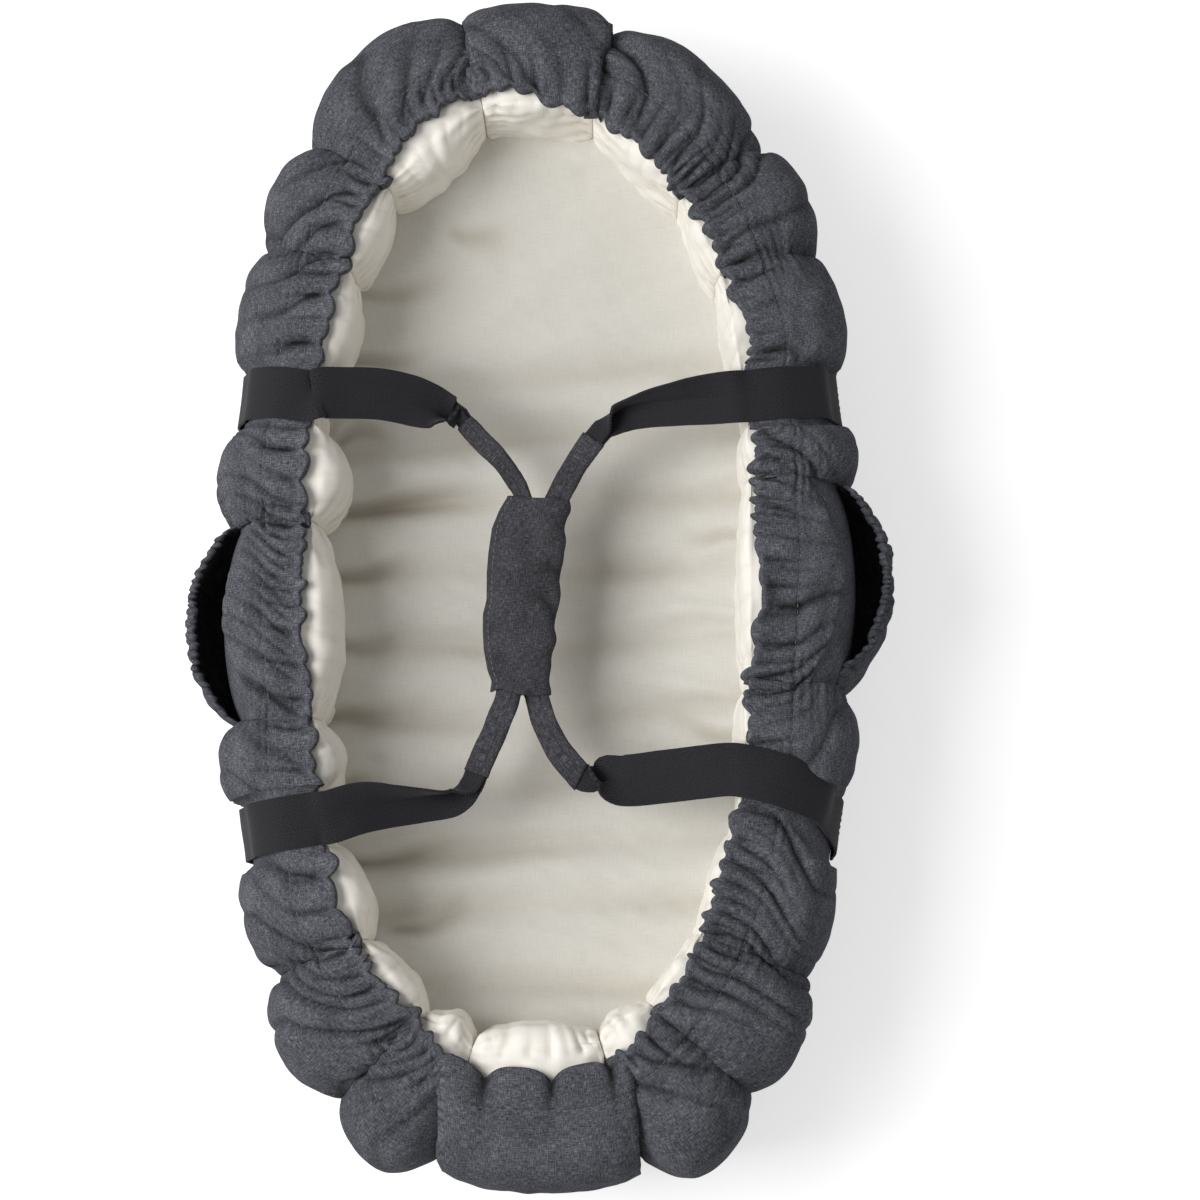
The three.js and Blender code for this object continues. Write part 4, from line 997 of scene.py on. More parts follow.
def spread_panel(upper, normal, across, s, v):
    """Moves a smooth panel's two sides out over the walls beside it, most at the hem."""
    start, end = s[0, 0], s[-1, 0]
    side = (2 * s - start - end) / (end - start)
    tangent = np.stack([-across[:, 1], across[:, 0], np.zeros(len(s))], axis=-1)[:, None, :]
    near = np.exp(-(v / PANEL_OVERLAP_FADE) ** 2)
    upper = upper + tangent * (PANEL_OVERLAP * side * near)[..., None]
    off_edge = smoothstep(1 - np.abs(side), 0, 0.02)
    return upper + normal * (PANEL_LIFT * side**4 * near * off_edge)[..., None]


def hem_fold(edge, reach, walked, rise):
    """The hem turned under its edge: rows from the turned end back to the edge."""
    crown = reach["top"] - drop_under_straps(walked, 0 * walked, reach["top"])
    floor_height = crown + STUFFING_EASE + 0.1
    nose = (HEM_LIFT - STUFFING_EASE) / 2 * 0.8
    rows = []
    for angle in np.linspace(0, np.pi, 6)[1:-1]:
        place = edge.copy()
        place[:, :2] -= reach["across"] * nose * np.sin(angle)
        place[:, 2] = lerp(floor_height, edge[:, 2], (1 + np.cos(angle)) / 2)
        rows.append(place)
    for distance in np.linspace(0, HEM_FOLD, 7):
        place = edge.copy()
        place[:, :2] += reach["across"] * distance
        place[:, 2] = floor_height + rise * (1 - distance / HEM_FOLD)
        rows.append(place)
    return np.stack(rows[::-1], axis=1)


def sew_casing(upper, down, free):
    """Sews the casing's row of stitches, except where a strap hides it."""
    row = int(np.argmin(np.abs(down - CASING_STITCH)))
    visible = free[:, 0] > 0.5
    normal = normals_of(upper)
    breaks = np.flatnonzero(np.diff(visible.astype(int)) != 0) + 1
    for part in np.split(np.arange(len(visible)), breaks):
        if visible[part[0]] and len(part) > 4:
            sew(cover_threads, upper[part, row], normal[part, row])


def cover_stations(start, end, panel):
    """Walked lengths across one cloth of the cover, and how full it is at each."""
    columns = int((end - start) / WALL_STEP) + 1
    walked = np.linspace(start, end, columns)
    if not panel:
        return walked, swell_at(walked)[0]
    between = np.linspace(start + PANEL_EDGE_STEP, end - PANEL_EDGE_STEP, columns - 2)
    walked = np.concatenate([[start], between, [end]])
    own = lerp(PANEL_SWELL, 1, swell_at(walked)[0])
    own[[0, -1]] = 0
    return walked, own


def smooth_skin(walked, own, reach):
    """The cover's skin before its folds, pulled in under the straps; gives its points, their distances
    down it, its length, and where it is clear of the straps."""
    line = skin_line(reach)
    middle = line[np.argmax(own)]
    _, length = places_along(middle, [0])
    down = down_the_skin(length)
    places, _ = places_along(middle, down)
    free = clear_of_straps(walked[:, None], down[None, :])
    pulled_in = reach_at(walked, np.zeros_like(walked), np.full_like(walked, STRAP_PULL_SHARE))
    under_strap = in_space(pulled_in, curve_through(skin_line(pulled_in), places))
    upper = lerp(under_strap, in_space(reach, curve_through(line, places)), free[..., None])
    return upper, down, length, free


def cover_piece(name, start, end, panel, node):
    """One cloth of the cover, between two walked lengths; panel is None for the gathered walls."""
    start, end = start + TOUCH_GAP / 2, end - TOUCH_GAP / 2
    walked, own = cover_stations(start, end, panel)
    reach = reach_at(walked, own)
    upper, down, length, free = smooth_skin(walked, own, reach)
    s, v = np.broadcast_arrays(walked[:, None], down[None, :])
    normal = normals_of(upper)
    drift = np.interp(walked, HEM_STEPS, HEM_DRIFTS, period=SPINE_LENGTH)[:, None] * free[:, :1]
    if panel != "smooth":
        free = free * smoothstep(seam_distance(walked, FOOT_SEAMS), 3, 26)[:, None]
    from_seam = seam_distance(walked, LEFT_SEAMS + RIGHT_SEAMS)[:, None]
    out, ruffle, valley = cover_relief(s, v, own, free, from_seam, panel)
    calm = calm_cloth(walked, v, length)
    deepest = lerp(CASING_SINK, FOLD_SINK, smoothstep(v, HEM_CASING_WIDTH, HEM_CASING_WIDTH + SINK_EASE))
    out = np.maximum(out * calm, -deepest)
    # valley is the painted shade in the folds, calmed where the cloth is
    valley = valley * calm
    pulled = ruffle * free
    inward = np.zeros_like(upper)
    inward[..., :2] = -reach["across"][:, None, :]
    pull = HEM_SCALLOP * pulled * np.exp(-(v / SCALLOP_FADE) ** 2) - drift * np.exp(-(v / DRIFT_FADE) ** 2)
    droop = HEM_DROOP * np.maximum(0, pulled) * np.exp(-(v / DROOP_FADE) ** 2)
    upper = upper + normal * out[..., None] + inward * pull[..., None]
    if panel == "smooth":
        upper = spread_panel(upper, normal, reach["across"], s, v)
    upper[..., 2] = np.maximum(upper[..., 2] - droop, BUMPER_FOOT)
    turned = hem_fold(upper[:, 0], reach, walked, 1.4 * np.maximum(0, ruffle[:, 0]) * free[:, 0])
    points = np.concatenate([turned, upper], axis=1)
    cloth_v = np.concatenate([np.linspace(-HEM_FOLD - 6, -1, turned.shape[1]), down])
    faces = grid_faces(*points.shape[:2])
    # The turned hem takes the painted shade of the hem's edge.
    valley = np.concatenate([np.repeat(valley[:, :1], turned.shape[1], axis=1), valley], axis=1)
    uv = cloth_places(walked[:, None], cloth_v[None, :])
    piece = mesh_piece(name, points.reshape(-1, 3), faces, uv, valley)
    add_thickness(piece, CANVAS_THICKNESS)
    finish_piece(piece, "carrier", charcoal_canvas, "cover_cloth", node)
    sew_casing(upper, down, free)


cover_threads = new_store()
for name, start, end, panel, under in [
    ("head_panel", HEAD_CHAMBER["start"], HEAD_CHAMBER["end"], "gathered", "bumper_head"),
    ("left_wall", LEFT_SEAMS[0], LEFT_SEAMS[-1], None, "bumper_left_5"),
    ("foot_panel", FOOT_CHAMBER["start"], FOOT_CHAMBER["end"], "smooth", "bumper_foot"),
    ("right_wall", RIGHT_SEAMS[0], RIGHT_SEAMS[-1], None, "bumper_right_5"),
]:
    cover_piece(name + "_gathered", start, end, panel, "cover_" + name)
thread_piece("casing_stitches", cover_threads, "carrier", "cover_cloth")


BASE_SPOKES = 360
BASE_RINGS = 26
BASE_TUCK_PITCH = 19
BASE_TUCK_LENGTH = 20
BASE_HALF_WIDTH = 190
BASE_CLOTH_THICKNESS = 0.8


def base_piece():
    """Underside cloth: its rim is eased into the seam all round."""
    walked = np.linspace(0, SPINE_LENGTH, BASE_SPOKES, endpoint=False)
    reach = reach_at(walked)
    rim = reach["origin"] + reach["across"] * reach["base"][:, None]
    middle = np.array([0, SPINE_MIDDLE_Y])
    share = np.linspace(1, 0.02, BASE_RINGS)[None, :, None]
    flat = (rim - middle)[:, None, :] * share + middle
    from_rim = 1 - share[..., 0]
    tucks = ridges(gather_phase(walked, BASE_TUCK_PITCH, 0.4, 91), 1, 92)[0][:, None]
    tucks = np.exp(-from_rim * BASE_HALF_WIDTH / BASE_TUCK_LENGTH) * tucks
    height = 0.95 + 0.9 * tucks + 0.25 * creases(flat[..., 0], flat[..., 1], 70, 93, 2) * from_rim
    points = np.concatenate([flat, height[..., None]], axis=-1).reshape(-1, 3)
    faces = grid_faces(BASE_SPOKES, BASE_RINGS, loop_columns=True)
    faces.append([spoke * BASE_RINGS + BASE_RINGS - 1 for spoke in range(BASE_SPOKES)])
    piece = mesh_piece("underside_cloth", points, faces, points[:, :2])
    add_thickness(piece, BASE_CLOTH_THICKNESS)
    finish_piece(piece, "carrier", charcoal_canvas, "cover_cloth", "cover_base")


base_piece()


ELASTIC_COLUMNS = 900
ELASTIC_ROWS = 7
ELASTIC_WAVE = 9
BAND_THICKNESS = 0.7


def elastic_piece():
    """The elastic inside the casing, which draws the hem in: it waves a little between the gathers."""
    walked = np.linspace(0, SPINE_LENGTH, ELASTIC_COLUMNS, endpoint=False)
    reach = reach_at(walked)
    drift = np.interp(walked, HEM_STEPS, HEM_DRIFTS, period=SPINE_LENGTH)
    inner = reach["hem"] + np.maximum(drift, 0) + HEM_SCALLOP
    outer = reach["hem"] + HEM_FOLD
    across = lerp(inner[:, None], outer[:, None], np.linspace(0, 1, ELASTIC_ROWS)[None, :])
    top = reach["top"] - drop_under_straps(walked, np.full_like(walked, 10), reach["top"])
    height = top + STUFFING_EASE + COVER_CLOTH + TOUCH_GAP + 0.4
    height = height + 0.35 * np.sin(2 * np.pi * walked / ELASTIC_WAVE)
    section = np.stack([across, np.broadcast_to(height[:, None], across.shape)], axis=-1)
    points = in_space(reach, section)
    faces = grid_faces(ELASTIC_COLUMNS, ELASTIC_ROWS, loop_columns=True)
    piece = mesh_piece("hem_elastic_band", points.reshape(-1, 3), faces)
    add_thickness(piece, BAND_THICKNESS)
    finish_piece(piece, "carrier", elastic_band, "elastic", "hem_elastic")


elastic_piece()


# Side pockets: a gathered pouch on the middle of each side, its mouth drawn in by a narrow casing

POCKET_STEP = 1.2
POCKET_RIM_RADIUS = 3.2
RIM_PUCKER_PITCH = 5.2
MOUTH_FULLNESS = 0.48
POCKET_STAND = 2.1
POCKET_ROWS = 44
POCKET_RIM_SIDES = 14


def skin_across(line, height):
    """The skin's outward place at a height, for each station's line."""
    values = np.empty(np.broadcast(line[:, 0, 0], height).shape)
    for index, points in enumerate(line):
        wall = points[1:][::-1]
        values[index] = np.interp(np.broadcast_to(height, values.shape)[index], wall[:, 1], wall[:, 0])
    return values


def pocket_piece(side, chamber, bulge, late):
    """A pouch on a chamber, fuller by the bulge; its mouth opens from the late share of its width on."""
    start, end = chamber["start"], chamber["end"]
    columns = int((end - start) / POCKET_STEP) + 1
    share = np.linspace(0, 1, columns)
    walked = lerp(start, end, share)
    bow = np.sin(np.pi * share)
    reach = reach_at(walked, bow ** PILLOW_POWER)
    line = skin_line(reach)
    foot = line[:, -2, 1]
    up = np.linspace(0, 1, POCKET_ROWS)[None, :]
    height = lerp(foot[:, None], POCKET_TOP, up ** 1.35)
    wall = np.stack([skin_across(line, height[:, row]) for row in range(POCKET_ROWS)], axis=1) + POCKET_STAND
    full = bow[:, None] ** POCKET_FULLNESS
    mouth = np.sin(np.pi * np.clip((share[:, None] - late) / (1 - late), 0, 1)) ** MOUTH_FULLNESS
    depth = POCKET_DEPTH * lerp(full, mouth, smoothstep(up, 0.45, 1)) * np.sin(np.pi / 2 * up ** 0.8)
    belly = bulge * full * np.sin(np.pi * np.clip(up, 0, 1)) ** 1.2
    s = np.broadcast_to(walked[:, None], depth.shape)
    run = (1 - up) * (POCKET_TOP - foot[:, None])
    count = gather_phase(s + 5 * np.sin(run / 23) * smoothstep(run, 4, 40), 13, 0.45, int(start) + 3)
    fine, fine_low = ridges(2 * count, 0.8, 51, 0.35)
    broad, broad_low = ridges(count, 0.85, 52, 0.15)
    near = np.exp(-(run / 11) ** 1.5)
    further = smoothstep(run, 2, 10) * np.exp(-(run / per_gather(count, 53, 22, 60)) ** 2)
    gathers = 2.6 * fine * near + 4.2 * broad * further + 1.3 * creases(s, run, 34, 54, 2)
    out = gathers * np.minimum(1, 3 * full) * smoothstep(up, 0, 0.15)
    # Painted shade in the valleys of the pocket's gathers
    valley = 0.9 * fine_low * near + 0.8 * broad_low * further
    across = wall + depth + belly + out
    points = in_space(reach, np.stack([across, height], axis=-1))[:, ::-1].reshape(-1, 3)
    uv = cloth_places(walked[:, None], run[:, ::-1])
    faces = grid_faces(columns, POCKET_ROWS)
    piece = mesh_piece(f"{side}_pocket_gathered", points, faces, uv, valley[:, ::-1])
    add_thickness(piece, CANVAS_THICKNESS)
    finish_piece(piece, "carrier", charcoal_canvas, "cover_cloth", f"{side}_pocket")
    pocket_casing(side, walked, bow, reach, across[:, -1])


def pocket_casing(side, walked, bow, reach, edge):
    """The narrow puckered casing along a pocket's edge."""
    angle = np.linspace(0, 2 * np.pi, POCKET_RIM_SIDES, endpoint=False)[None, :]
    phase = gather_phase(walked, RIM_PUCKER_PITCH, 0.35, int(walked[0]) + 8)
    plump, low = (part[:, None] for part in ridges(phase, 0.6, 57, 0.55))
    radius = POCKET_RIM_RADIUS * (0.72 + 0.42 * plump) * (0.55 + 0.45 * np.minimum(1, 4 * bow))[:, None]
    swing = 0.9 * random_curve(walked, 9, 58, -1, 1)
    rise = 0.8 * random_curve(walked, 17, 59, -1, 1)[:, None]
    across = (edge - 0.6)[:, None] + swing[:, None] + radius * np.cos(angle)
    height = POCKET_TOP + 3.4 + 1.25 * radius * np.sin(angle) + rise
    points = in_space(reach, np.stack([across, height], axis=-1))[:, ::-1]
    faces = grid_faces(len(walked), POCKET_RIM_SIDES, loop_rows=True)
    every = add_caps(points, faces, len(walked), POCKET_RIM_SIDES)
    uv = cloth_places(walked[:, None], angle * POCKET_RIM_RADIUS)
    # Painted shade between the casing's puckers
    valley = np.append(np.repeat(low, POCKET_RIM_SIDES, axis=1), [0, 0])
    piece = mesh_piece(f"{side}_pocket_casing", every, faces, np.concatenate([uv, uv[:2]]), valley)
    finish_piece(piece, "carrier", charcoal_canvas, "cover_cloth", f"{side}_pocket_rim")


pocket_piece("left", LEFT_CHAMBERS[POCKET_CHAMBER], 3, 0)
pocket_piece("right", RIGHT_CHAMBERS[POCKET_CHAMBER], 8, 0.14)


# Carrying straps: one length of webbing a side, sewn to the wall at both ends and folded into its grip

STRAP_BEND_ARC = 2.3
STRAP_OFFSET = STRAP_CLEARANCE + STRAP_THICKNESS / 2
STRAP_STEP = 2.6
# How much higher a strap lies for each millimetre that it is off its seam, where the cloth is fuller
STRAP_RIDE = 0.14
SLEEVE_SIDES = 40
SLEEVE_HALF_WIDTH = 10.9
SLEEVE_HALF_HEIGHT = 3.5
SLEEVE_CLOTH_THICKNESS = 0.7
SEWN_BOX_LENGTH = 34
GRIP_TILT = 28
GRIP_STRAIGHT_SHARE = 0.7
# Stops of each arm from inside the hem to the wrap: x, y, z, then how far it is folded
ARM_STOPS = {
    ("left", "head"): [
        (-158, 132.5, 182, 0), (-136.5, 134.5, 175, 0), (-114.5, 135, 168, 0), (-91.5, 132, 160, 0.05),
        (-74.5, 127, 154, 0.25), (-63.5, 122, 152, 0.7), (-57, 121, 150, 0.98), (-52.5, 116, 149, 1),
        (-41, 104, 148, 1), (-29, 91.5, 147, 1), (-19.5, 78.5, 146, 1), (-11.5, 65, 145, 1),
    ],
    ("right", "head"): [
        (143, 129, 182, 0.08), (126.5, 128.5, 174, 0.18), (102.5, 128, 166, 0.34), (77, 127, 158, 0.47),
        (59.5, 123.5, 153, 0.6), (47.5, 113.5, 150, 0.97), (40.5, 104.5, 149, 1), (26, 84.5, 147, 1),
        (14, 60.5, 145, 1),
    ],
    ("left", "foot"): [
        (-147, -174, 181, 0.04), (-125.5, -167.5, 173, 0.15), (-104, -164, 165, 0.34), (-82, -161, 158, 0.46),
        (-61.5, -157, 152, 0.62), (-49, -149, 150, 0.95), (-44, -140.5, 150, 1), (-40.5, -131.5, 149, 1),
        (-30, -107.5, 147, 1), (-21, -81, 145, 1),
    ],
    ("right", "foot"): [
        (138, -139.5, 181, 0), (116, -141, 173, 0), (89, -143.5, 165, 0), (62, -145, 158, 0.1),
        (48.5, -142, 154, 0.4), (39.5, -144.5, 151.5, 0.9), (32.5, -143, 150, 1), (27, -137.5, 149.5, 1),
        (17.5, -126, 148, 1), (9.5, -112.5, 147, 1), (3.5, -97.5, 146, 1), (-1, -82, 145, 1),
    ],
}
LOOSE_TILTS = {("left", "head"): 66, ("right", "head"): 38, ("left", "foot"): 34, ("right", "foot"): 44}
WRAP_ACROSS = np.array([math.cos(WRAP_TURN), -math.sin(WRAP_TURN), 0])
WRAP_ALONG = np.array([math.sin(WRAP_TURN), math.cos(WRAP_TURN), 0])


def wrap_place(across, along, height):
    """Places in the wrap's own directions, as places in the lounger's."""
    across, along, height = np.broadcast_arrays(across, along, height)
    place = across[..., None] * WRAP_ACROSS + along[..., None] * WRAP_ALONG
    place[..., :2] += WRAP_MIDDLE
    place[..., 2] = height
    return place


def tilted_guide(angle):
    """The upward direction turned over about the wrap's length, by an angle in degrees."""
    angle = math.radians(angle)
    return UP * math.cos(angle) - WRAP_ACROSS * math.sin(angle)


def rim_way(ends):
    """The strap's stops from its sewn end on the wall to just inside the hem, and their outward guide."""
    places, guides = [], []
    lowest = SHOULDER_HEIGHT - ANCHOR_LENGTH
    for down, height in ((120, lowest), (105, lowest + 20), (85, lowest + 42), (65, SHOULDER_HEIGHT)):
        origin, outward, line = strap_line(ends, down)
        places.append(np.array([*(origin + outward * (skin_across(line, height)[0] + STRAP_OFFSET)), height]))
        guides.append(np.array([*outward, 0.15]))
    for down, index in ((48, 2), (HEM_CASING_WIDTH, 1), (0, 0)):
        origin, outward, line = strap_line(ends, down)
        across, height = line[0, index]
        out = STRAP_OFFSET if index == 2 else 0
        lift = STRAP_OFFSET + STRAP_RIDE * abs(strap_path(ends, down) - STRAP_SEAMS[ends])
        places.append(np.array([*(origin + outward * (across + out)), height + lift]))
        guides.append(np.array([*outward, 1.0]))
    return places, guides


def strap_line(ends, down):
    """The spine's place, its outward direction and the skin's line where a strap's middle lies."""
    reach = reach_at(strap_path(ends, np.array([float(down)])), np.zeros(1))
    return reach["origin"][0], reach["across"][0], skin_line(reach)


def handle_stops(side, grip_across):
    """The strap's stops from end to end, its outward guides there, and how far it is folded."""
    def arm(end, towards):
        places, guides = rim_way((side, end))
        folds = [0] * len(places)
        for x, y, z, fold in ARM_STOPS[side, end]:
            places.append(np.array([x, y, z]))
            folds.append(fold)
            guides.append(tilted_guide(LOOSE_TILTS[side, end] if fold > 0.5 else 0))
        places.append(wrap_place(grip_across, towards * WRAP_LENGTH / 2 * GRIP_STRAIGHT_SHARE, GRIP_HEIGHT))
        folds.append(1)
        guides.append(tilted_guide(GRIP_TILT))
        return places, guides, folds
    halves = zip(arm("head", 1), arm("foot", -1))
    return [np.array([*head, *foot[::-1]], dtype=float) for head, foot in halves]


def even_curve(stops, places):
    """A smooth curve through uneven stops, which doesn't overshoot; places are counted in stops."""
    ends = [2 * stops[0] - stops[1]], [2 * stops[-1] - stops[-2]]
    stops = np.concatenate([ends[0], stops, ends[1]])
    whole = np.clip(np.floor(places).astype(int), 0, len(stops) - 4)
    t = (places - whole)[:, None]
    a, b, c, d = (stops[whole + k] for k in range(4))
    steps = ((a, b), (b, c), (c, d))
    first, second, third = (np.linalg.norm(q - p, axis=1)[:, None] ** 0.5 for p, q in steps)
    leave = ((b - a) / first - (c - a) / (first + second) + (c - b) / second) * second
    arrive = ((c - b) / second - (d - b) / (second + third) + (d - c) / third) * second
    return b + leave * t + (3 * (c - b) - 2 * leave - arrive) * t**2 + (2 * (b - c) + leave + arrive) * t**3


def handle_frames(side, grip_across):
    """The strap's centre line at even steps, with its directions across and up, its fold and its length
    so far."""
    stops, guides, folds = handle_stops(side, grip_across)
    fine = np.linspace(0, len(stops) - 1, 6000)
    drawn = even_curve(stops, fine)
    walked = np.concatenate([[0], np.cumsum(np.linalg.norm(np.diff(drawn, axis=0), axis=1))])
    even = np.linspace(0, walked[-1], int(walked[-1] / STRAP_STEP) + 1)
    places = np.interp(even, walked, fine)
    line = np.stack([np.interp(even, walked, drawn[:, axis]) for axis in range(3)], axis=-1)
    run = np.gradient(line, axis=0)
    run /= np.linalg.norm(run, axis=1, keepdims=True)
    counted = np.arange(len(stops))
    guide = np.stack([np.interp(places, counted, guides[:, axis]) for axis in range(3)], axis=-1)
    up = guide - run * np.sum(guide * run, axis=1, keepdims=True)
    up /= np.linalg.norm(up, axis=1, keepdims=True)
    return {
        "line": line,
        "across": np.cross(up, run),
        "up": up,
        "fold": np.interp(places, counted, folds),
        "walked": even,
    }


def strap_section(fold):
    """Middle line of the strap's section at each fold, from flat at 0 to one half turned onto the other
    at 1."""
    along = np.linspace(-STRAP_WIDTH / 2, STRAP_WIDTH / 2, 400)
    heading = np.pi - np.pi * fold[:, None] * smoothstep(along, -STRAP_BEND_ARC, STRAP_BEND_ARC)[None, :]
    step = along[1] - along[0]
    x = STRAP_WIDTH / 2 + np.cumsum(np.cos(heading), axis=1) * step
    y = np.cumsum(np.sin(heading), axis=1) * step
    x = x - STRAP_WIDTH / 4 * fold[:, None]
    y = y - y[:, -1:] / 2 * fold[:, None]
    rows = np.concatenate([
        np.linspace(-STRAP_WIDTH / 2, -3, 6), np.linspace(-2, 2, 7), np.linspace(3, STRAP_WIDTH / 2, 6),
    ])
    pick = np.clip(np.searchsorted(along, rows), 0, len(along) - 1)
    return np.stack([x[:, pick], y[:, pick]], axis=-1), rows


def placed_section(frames, section):
    x, y = section[..., :1], section[..., 1:]
    return frames["line"][:, None, :] + frames["across"][:, None, :] * x + frames["up"][:, None, :] * y


def sewn_box(frames, threads, first, last):
    """Stitches round a sewn end and across it both ways."""
    half = STRAP_WIDTH / 2 - 4
    line, across, up = (frames[key][first:last] for key in ("line", "across", "up"))
    share = np.linspace(-1, 1, last - first)[:, None]
    lift = up * (STRAP_THICKNESS / 2 + 0.15)
    for track in (-half + 0 * share, half + 0 * share, half * share, -half * share):
        sew(threads, line + across * track + lift, up, BOX_THREAD_RADIUS)
    for index in (0, last - first - 1):
        span = np.linspace(-half, half, 12)[:, None]
        outward = np.repeat(up[index:index + 1], len(span), axis=0)
        sew(threads, line[index] + across[index] * span + lift[index], outward, BOX_THREAD_RADIUS)


def sleeve_piece(side, frames):
    """Canvas tube round the folded strap, flattened, a little slack, with its seam turned up."""
    whole = np.flatnonzero(frames["fold"] > 0.995)
    part = {key: values[whole[0]:whole[-1] + 1] for key, values in frames.items()}
    columns = len(part["walked"])
    angle = np.linspace(0, 2 * np.pi, SLEEVE_SIDES, endpoint=False)[None, :]
    x = SLEEVE_HALF_WIDTH * np.sign(np.cos(angle)) * np.abs(np.cos(angle)) ** 0.75
    y = SLEEVE_HALF_HEIGHT * np.sign(np.sin(angle)) * np.abs(np.sin(angle)) ** 0.8
    s = part["walked"][:, None]
    ends = np.minimum(s - s[0], s[-1] - s)
    slack = 1 + 0.05 * creases(s, angle * 9, 30, 61, 2)
    slit = -1.5 * np.exp(-((angle - 1.25) / 0.09) ** 2)
    puckers = 0.35 * (ridges(gather_phase(s + 2 * np.sin(angle), 7, 0.4, 63), 1, 64)[0] - 0.5)
    grow = slack + 0.03 * np.exp(-(ends / 5) ** 2)
    loop = np.stack([x * grow, y * grow + slit + puckers], axis=-1)
    points = placed_section(part, loop)
    faces = grid_faces(columns, SLEEVE_SIDES, loop_rows=True)
    uv = cloth_places(s, angle * 7)
    piece = mesh_piece(f"{side}_grip_tube", points.reshape(-1, 3), faces, uv)
    add_thickness(piece, SLEEVE_CLOTH_THICKNESS)
    finish_piece(piece, f"{side}_handle", padding_canvas, "cover_cloth", f"{side}_grip_sleeve")


def handle_piece(side, grip_across):
    frames = handle_frames(side, grip_across)
    section, rows = strap_section(frames["fold"])
    s = frames["walked"][:, None]
    wave = 0.5 * creases(s, rows[None, :], 60, 65, 2)
    section = section + np.stack([0 * wave, wave], axis=-1) * (1 - frames["fold"])[:, None, None]
    points = placed_section(frames, section)
    faces = grid_faces(*points.shape[:2])
    piece = mesh_piece(f"{side}_strap", points.reshape(-1, 3), faces, cloth_places(s, rows[None, :]))
    shell = piece.modifiers.new("webbing thickness", "SOLIDIFY")
    shell.thickness = STRAP_THICKNESS * MM
    shell.offset = 0
    edge = piece.modifiers.new("woven edge", "BEVEL")
    edge.width = 0.5 * MM
    edge.segments = 2
    edge.limit_method = "ANGLE"
    finish_piece(piece, None, black_webbing, "strap_webbing",
                 f"{side}_webbing", f"{side}_strap_end_head", f"{side}_strap_end_foot")
    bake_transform(piece)
    sleeve_piece(side, frames)
    steps = int(SEWN_BOX_LENGTH / STRAP_STEP)
    last = len(frames["walked"])
    sewn_box(frames, strap_threads, 1, steps)
    sewn_box(frames, strap_threads, last - steps, last - 1)


strap_threads = new_store()
for side, way in (("left", -1), ("right", 1)):
    handle_piece(side, way * GRIP_SPACING / 2)
thread_piece("strap_end_stitches", strap_threads, "carrier", "strap_webbing")


# Wrap: an under layer and a flap that holds both grips together

WRAP_CLOTH = 1.5
TAPE_WIDTH = 5.5
TAPE_THICKNESS = 1
TAPE_END_INSET = 8
TAPE_EDGE_INSET = 1.2
WRAP_EDGE = 22.84
WRAP_INNER = 22.09
WRAP_LEFT = -28.69
WRAP_FLOOR = 135.1
WRAP_ROOF = 154.9
WRAP_CLOSED = WRAP_FLOOR + 2.9
# How far the wrap's left edge stands in from the straight, at places along it from its foot end
WRAP_EDGE_PLACES = [-72, -64, -57, -41.5, -28, -16, -5, 15, 30, 48, 62, 68, 72]
WRAP_EDGE_INSETS = [9.5, 9.8, 6, 1.5, -0.7, -1.9, -0.4, -2.4, -2.8, -2.2, 1.8, 4.5, 6.5]
# Dents pressed into the wrap: from one place to another, across and along, then depth and half-width
WRAP_DENTS = [
    [(24, 16), (-2, 22), 2.2, 4], [(22, -10), (-8, 4), 2.4, 4.5],
    [(-26, -52), (-8, -40), 2.2, 5], [(-27, -22), (-14, -28), 1.5, 4],
]
WRAP_ROWS = 60
WRAP_COLUMNS = 100
WRAP_STITCH_INSET = 9


def wrap_sheet(name, section, crown, ripple, inset, node, body):
    """A layer of the wrap, its section drawn from the left edge to the right fold."""
    section = np.array(section, dtype=float)
    _, length = places_along(section, [0])
    down = np.linspace(0, length, WRAP_ROWS)
    places, _ = places_along(section, down)
    middle = curve_through(section[None], places)[0]
    share = np.linspace(0, 1, WRAP_COLUMNS)[:, None]
    from_left = down[None, :]
    foot = -WRAP_LENGTH / 2 + 1.5 * np.sin(from_left / 9)
    head = WRAP_LENGTH / 2 + 1.2 * np.sin(from_left / 11 + 2)
    along = lerp(foot, head, share)
    across = np.broadcast_to(middle[None, :, 0], along.shape)
    height = np.broadcast_to(middle[None, :, 1], along.shape)
    top = smoothstep(height, WRAP_CLOSED + 3, WRAP_ROOF - 3)
    dents = creases(along, from_left, 44, 81, 2) + 0.35 * creases(along, from_left, 15, 82, 1)
    height = height + crown * np.sin(np.pi * share) * top + 1.2 * dents * top
    # shade is painted shade along the pressed dents, on the wrap's top
    shade = np.zeros_like(along)
    for start, end, depth, width in WRAP_DENTS:
        rise, low = crease_height(across, along, start, end, depth, width)
        height, shade = height + rise * top, shade + 0.35 * low * top
    edge = np.interp(along, WRAP_EDGE_PLACES, WRAP_EDGE_INSETS) + inset
    across = across + edge * smoothstep(across, 4, WRAP_LEFT + 3)
    uneven = np.sin(2 * np.pi * (along + 8) / 34)
    uneven = uneven + 0.8 * np.sin(2 * np.pi * along / 21 + 1) * np.sin(along / 40)
    bumps = 0.7 * ripple * uneven * smoothstep(across, WRAP_INNER - 14, WRAP_EDGE)
    across = across + bumps
    points = wrap_place(across, along, height)
    faces = grid_faces(WRAP_COLUMNS, WRAP_ROWS)
    piece = mesh_piece(name, points.reshape(-1, 3), faces, cloth_places(along, from_left), shade)
    add_thickness(piece, WRAP_CLOTH)
    finish_piece(piece, body, padding_canvas, "cover_cloth", node)
    return points, down


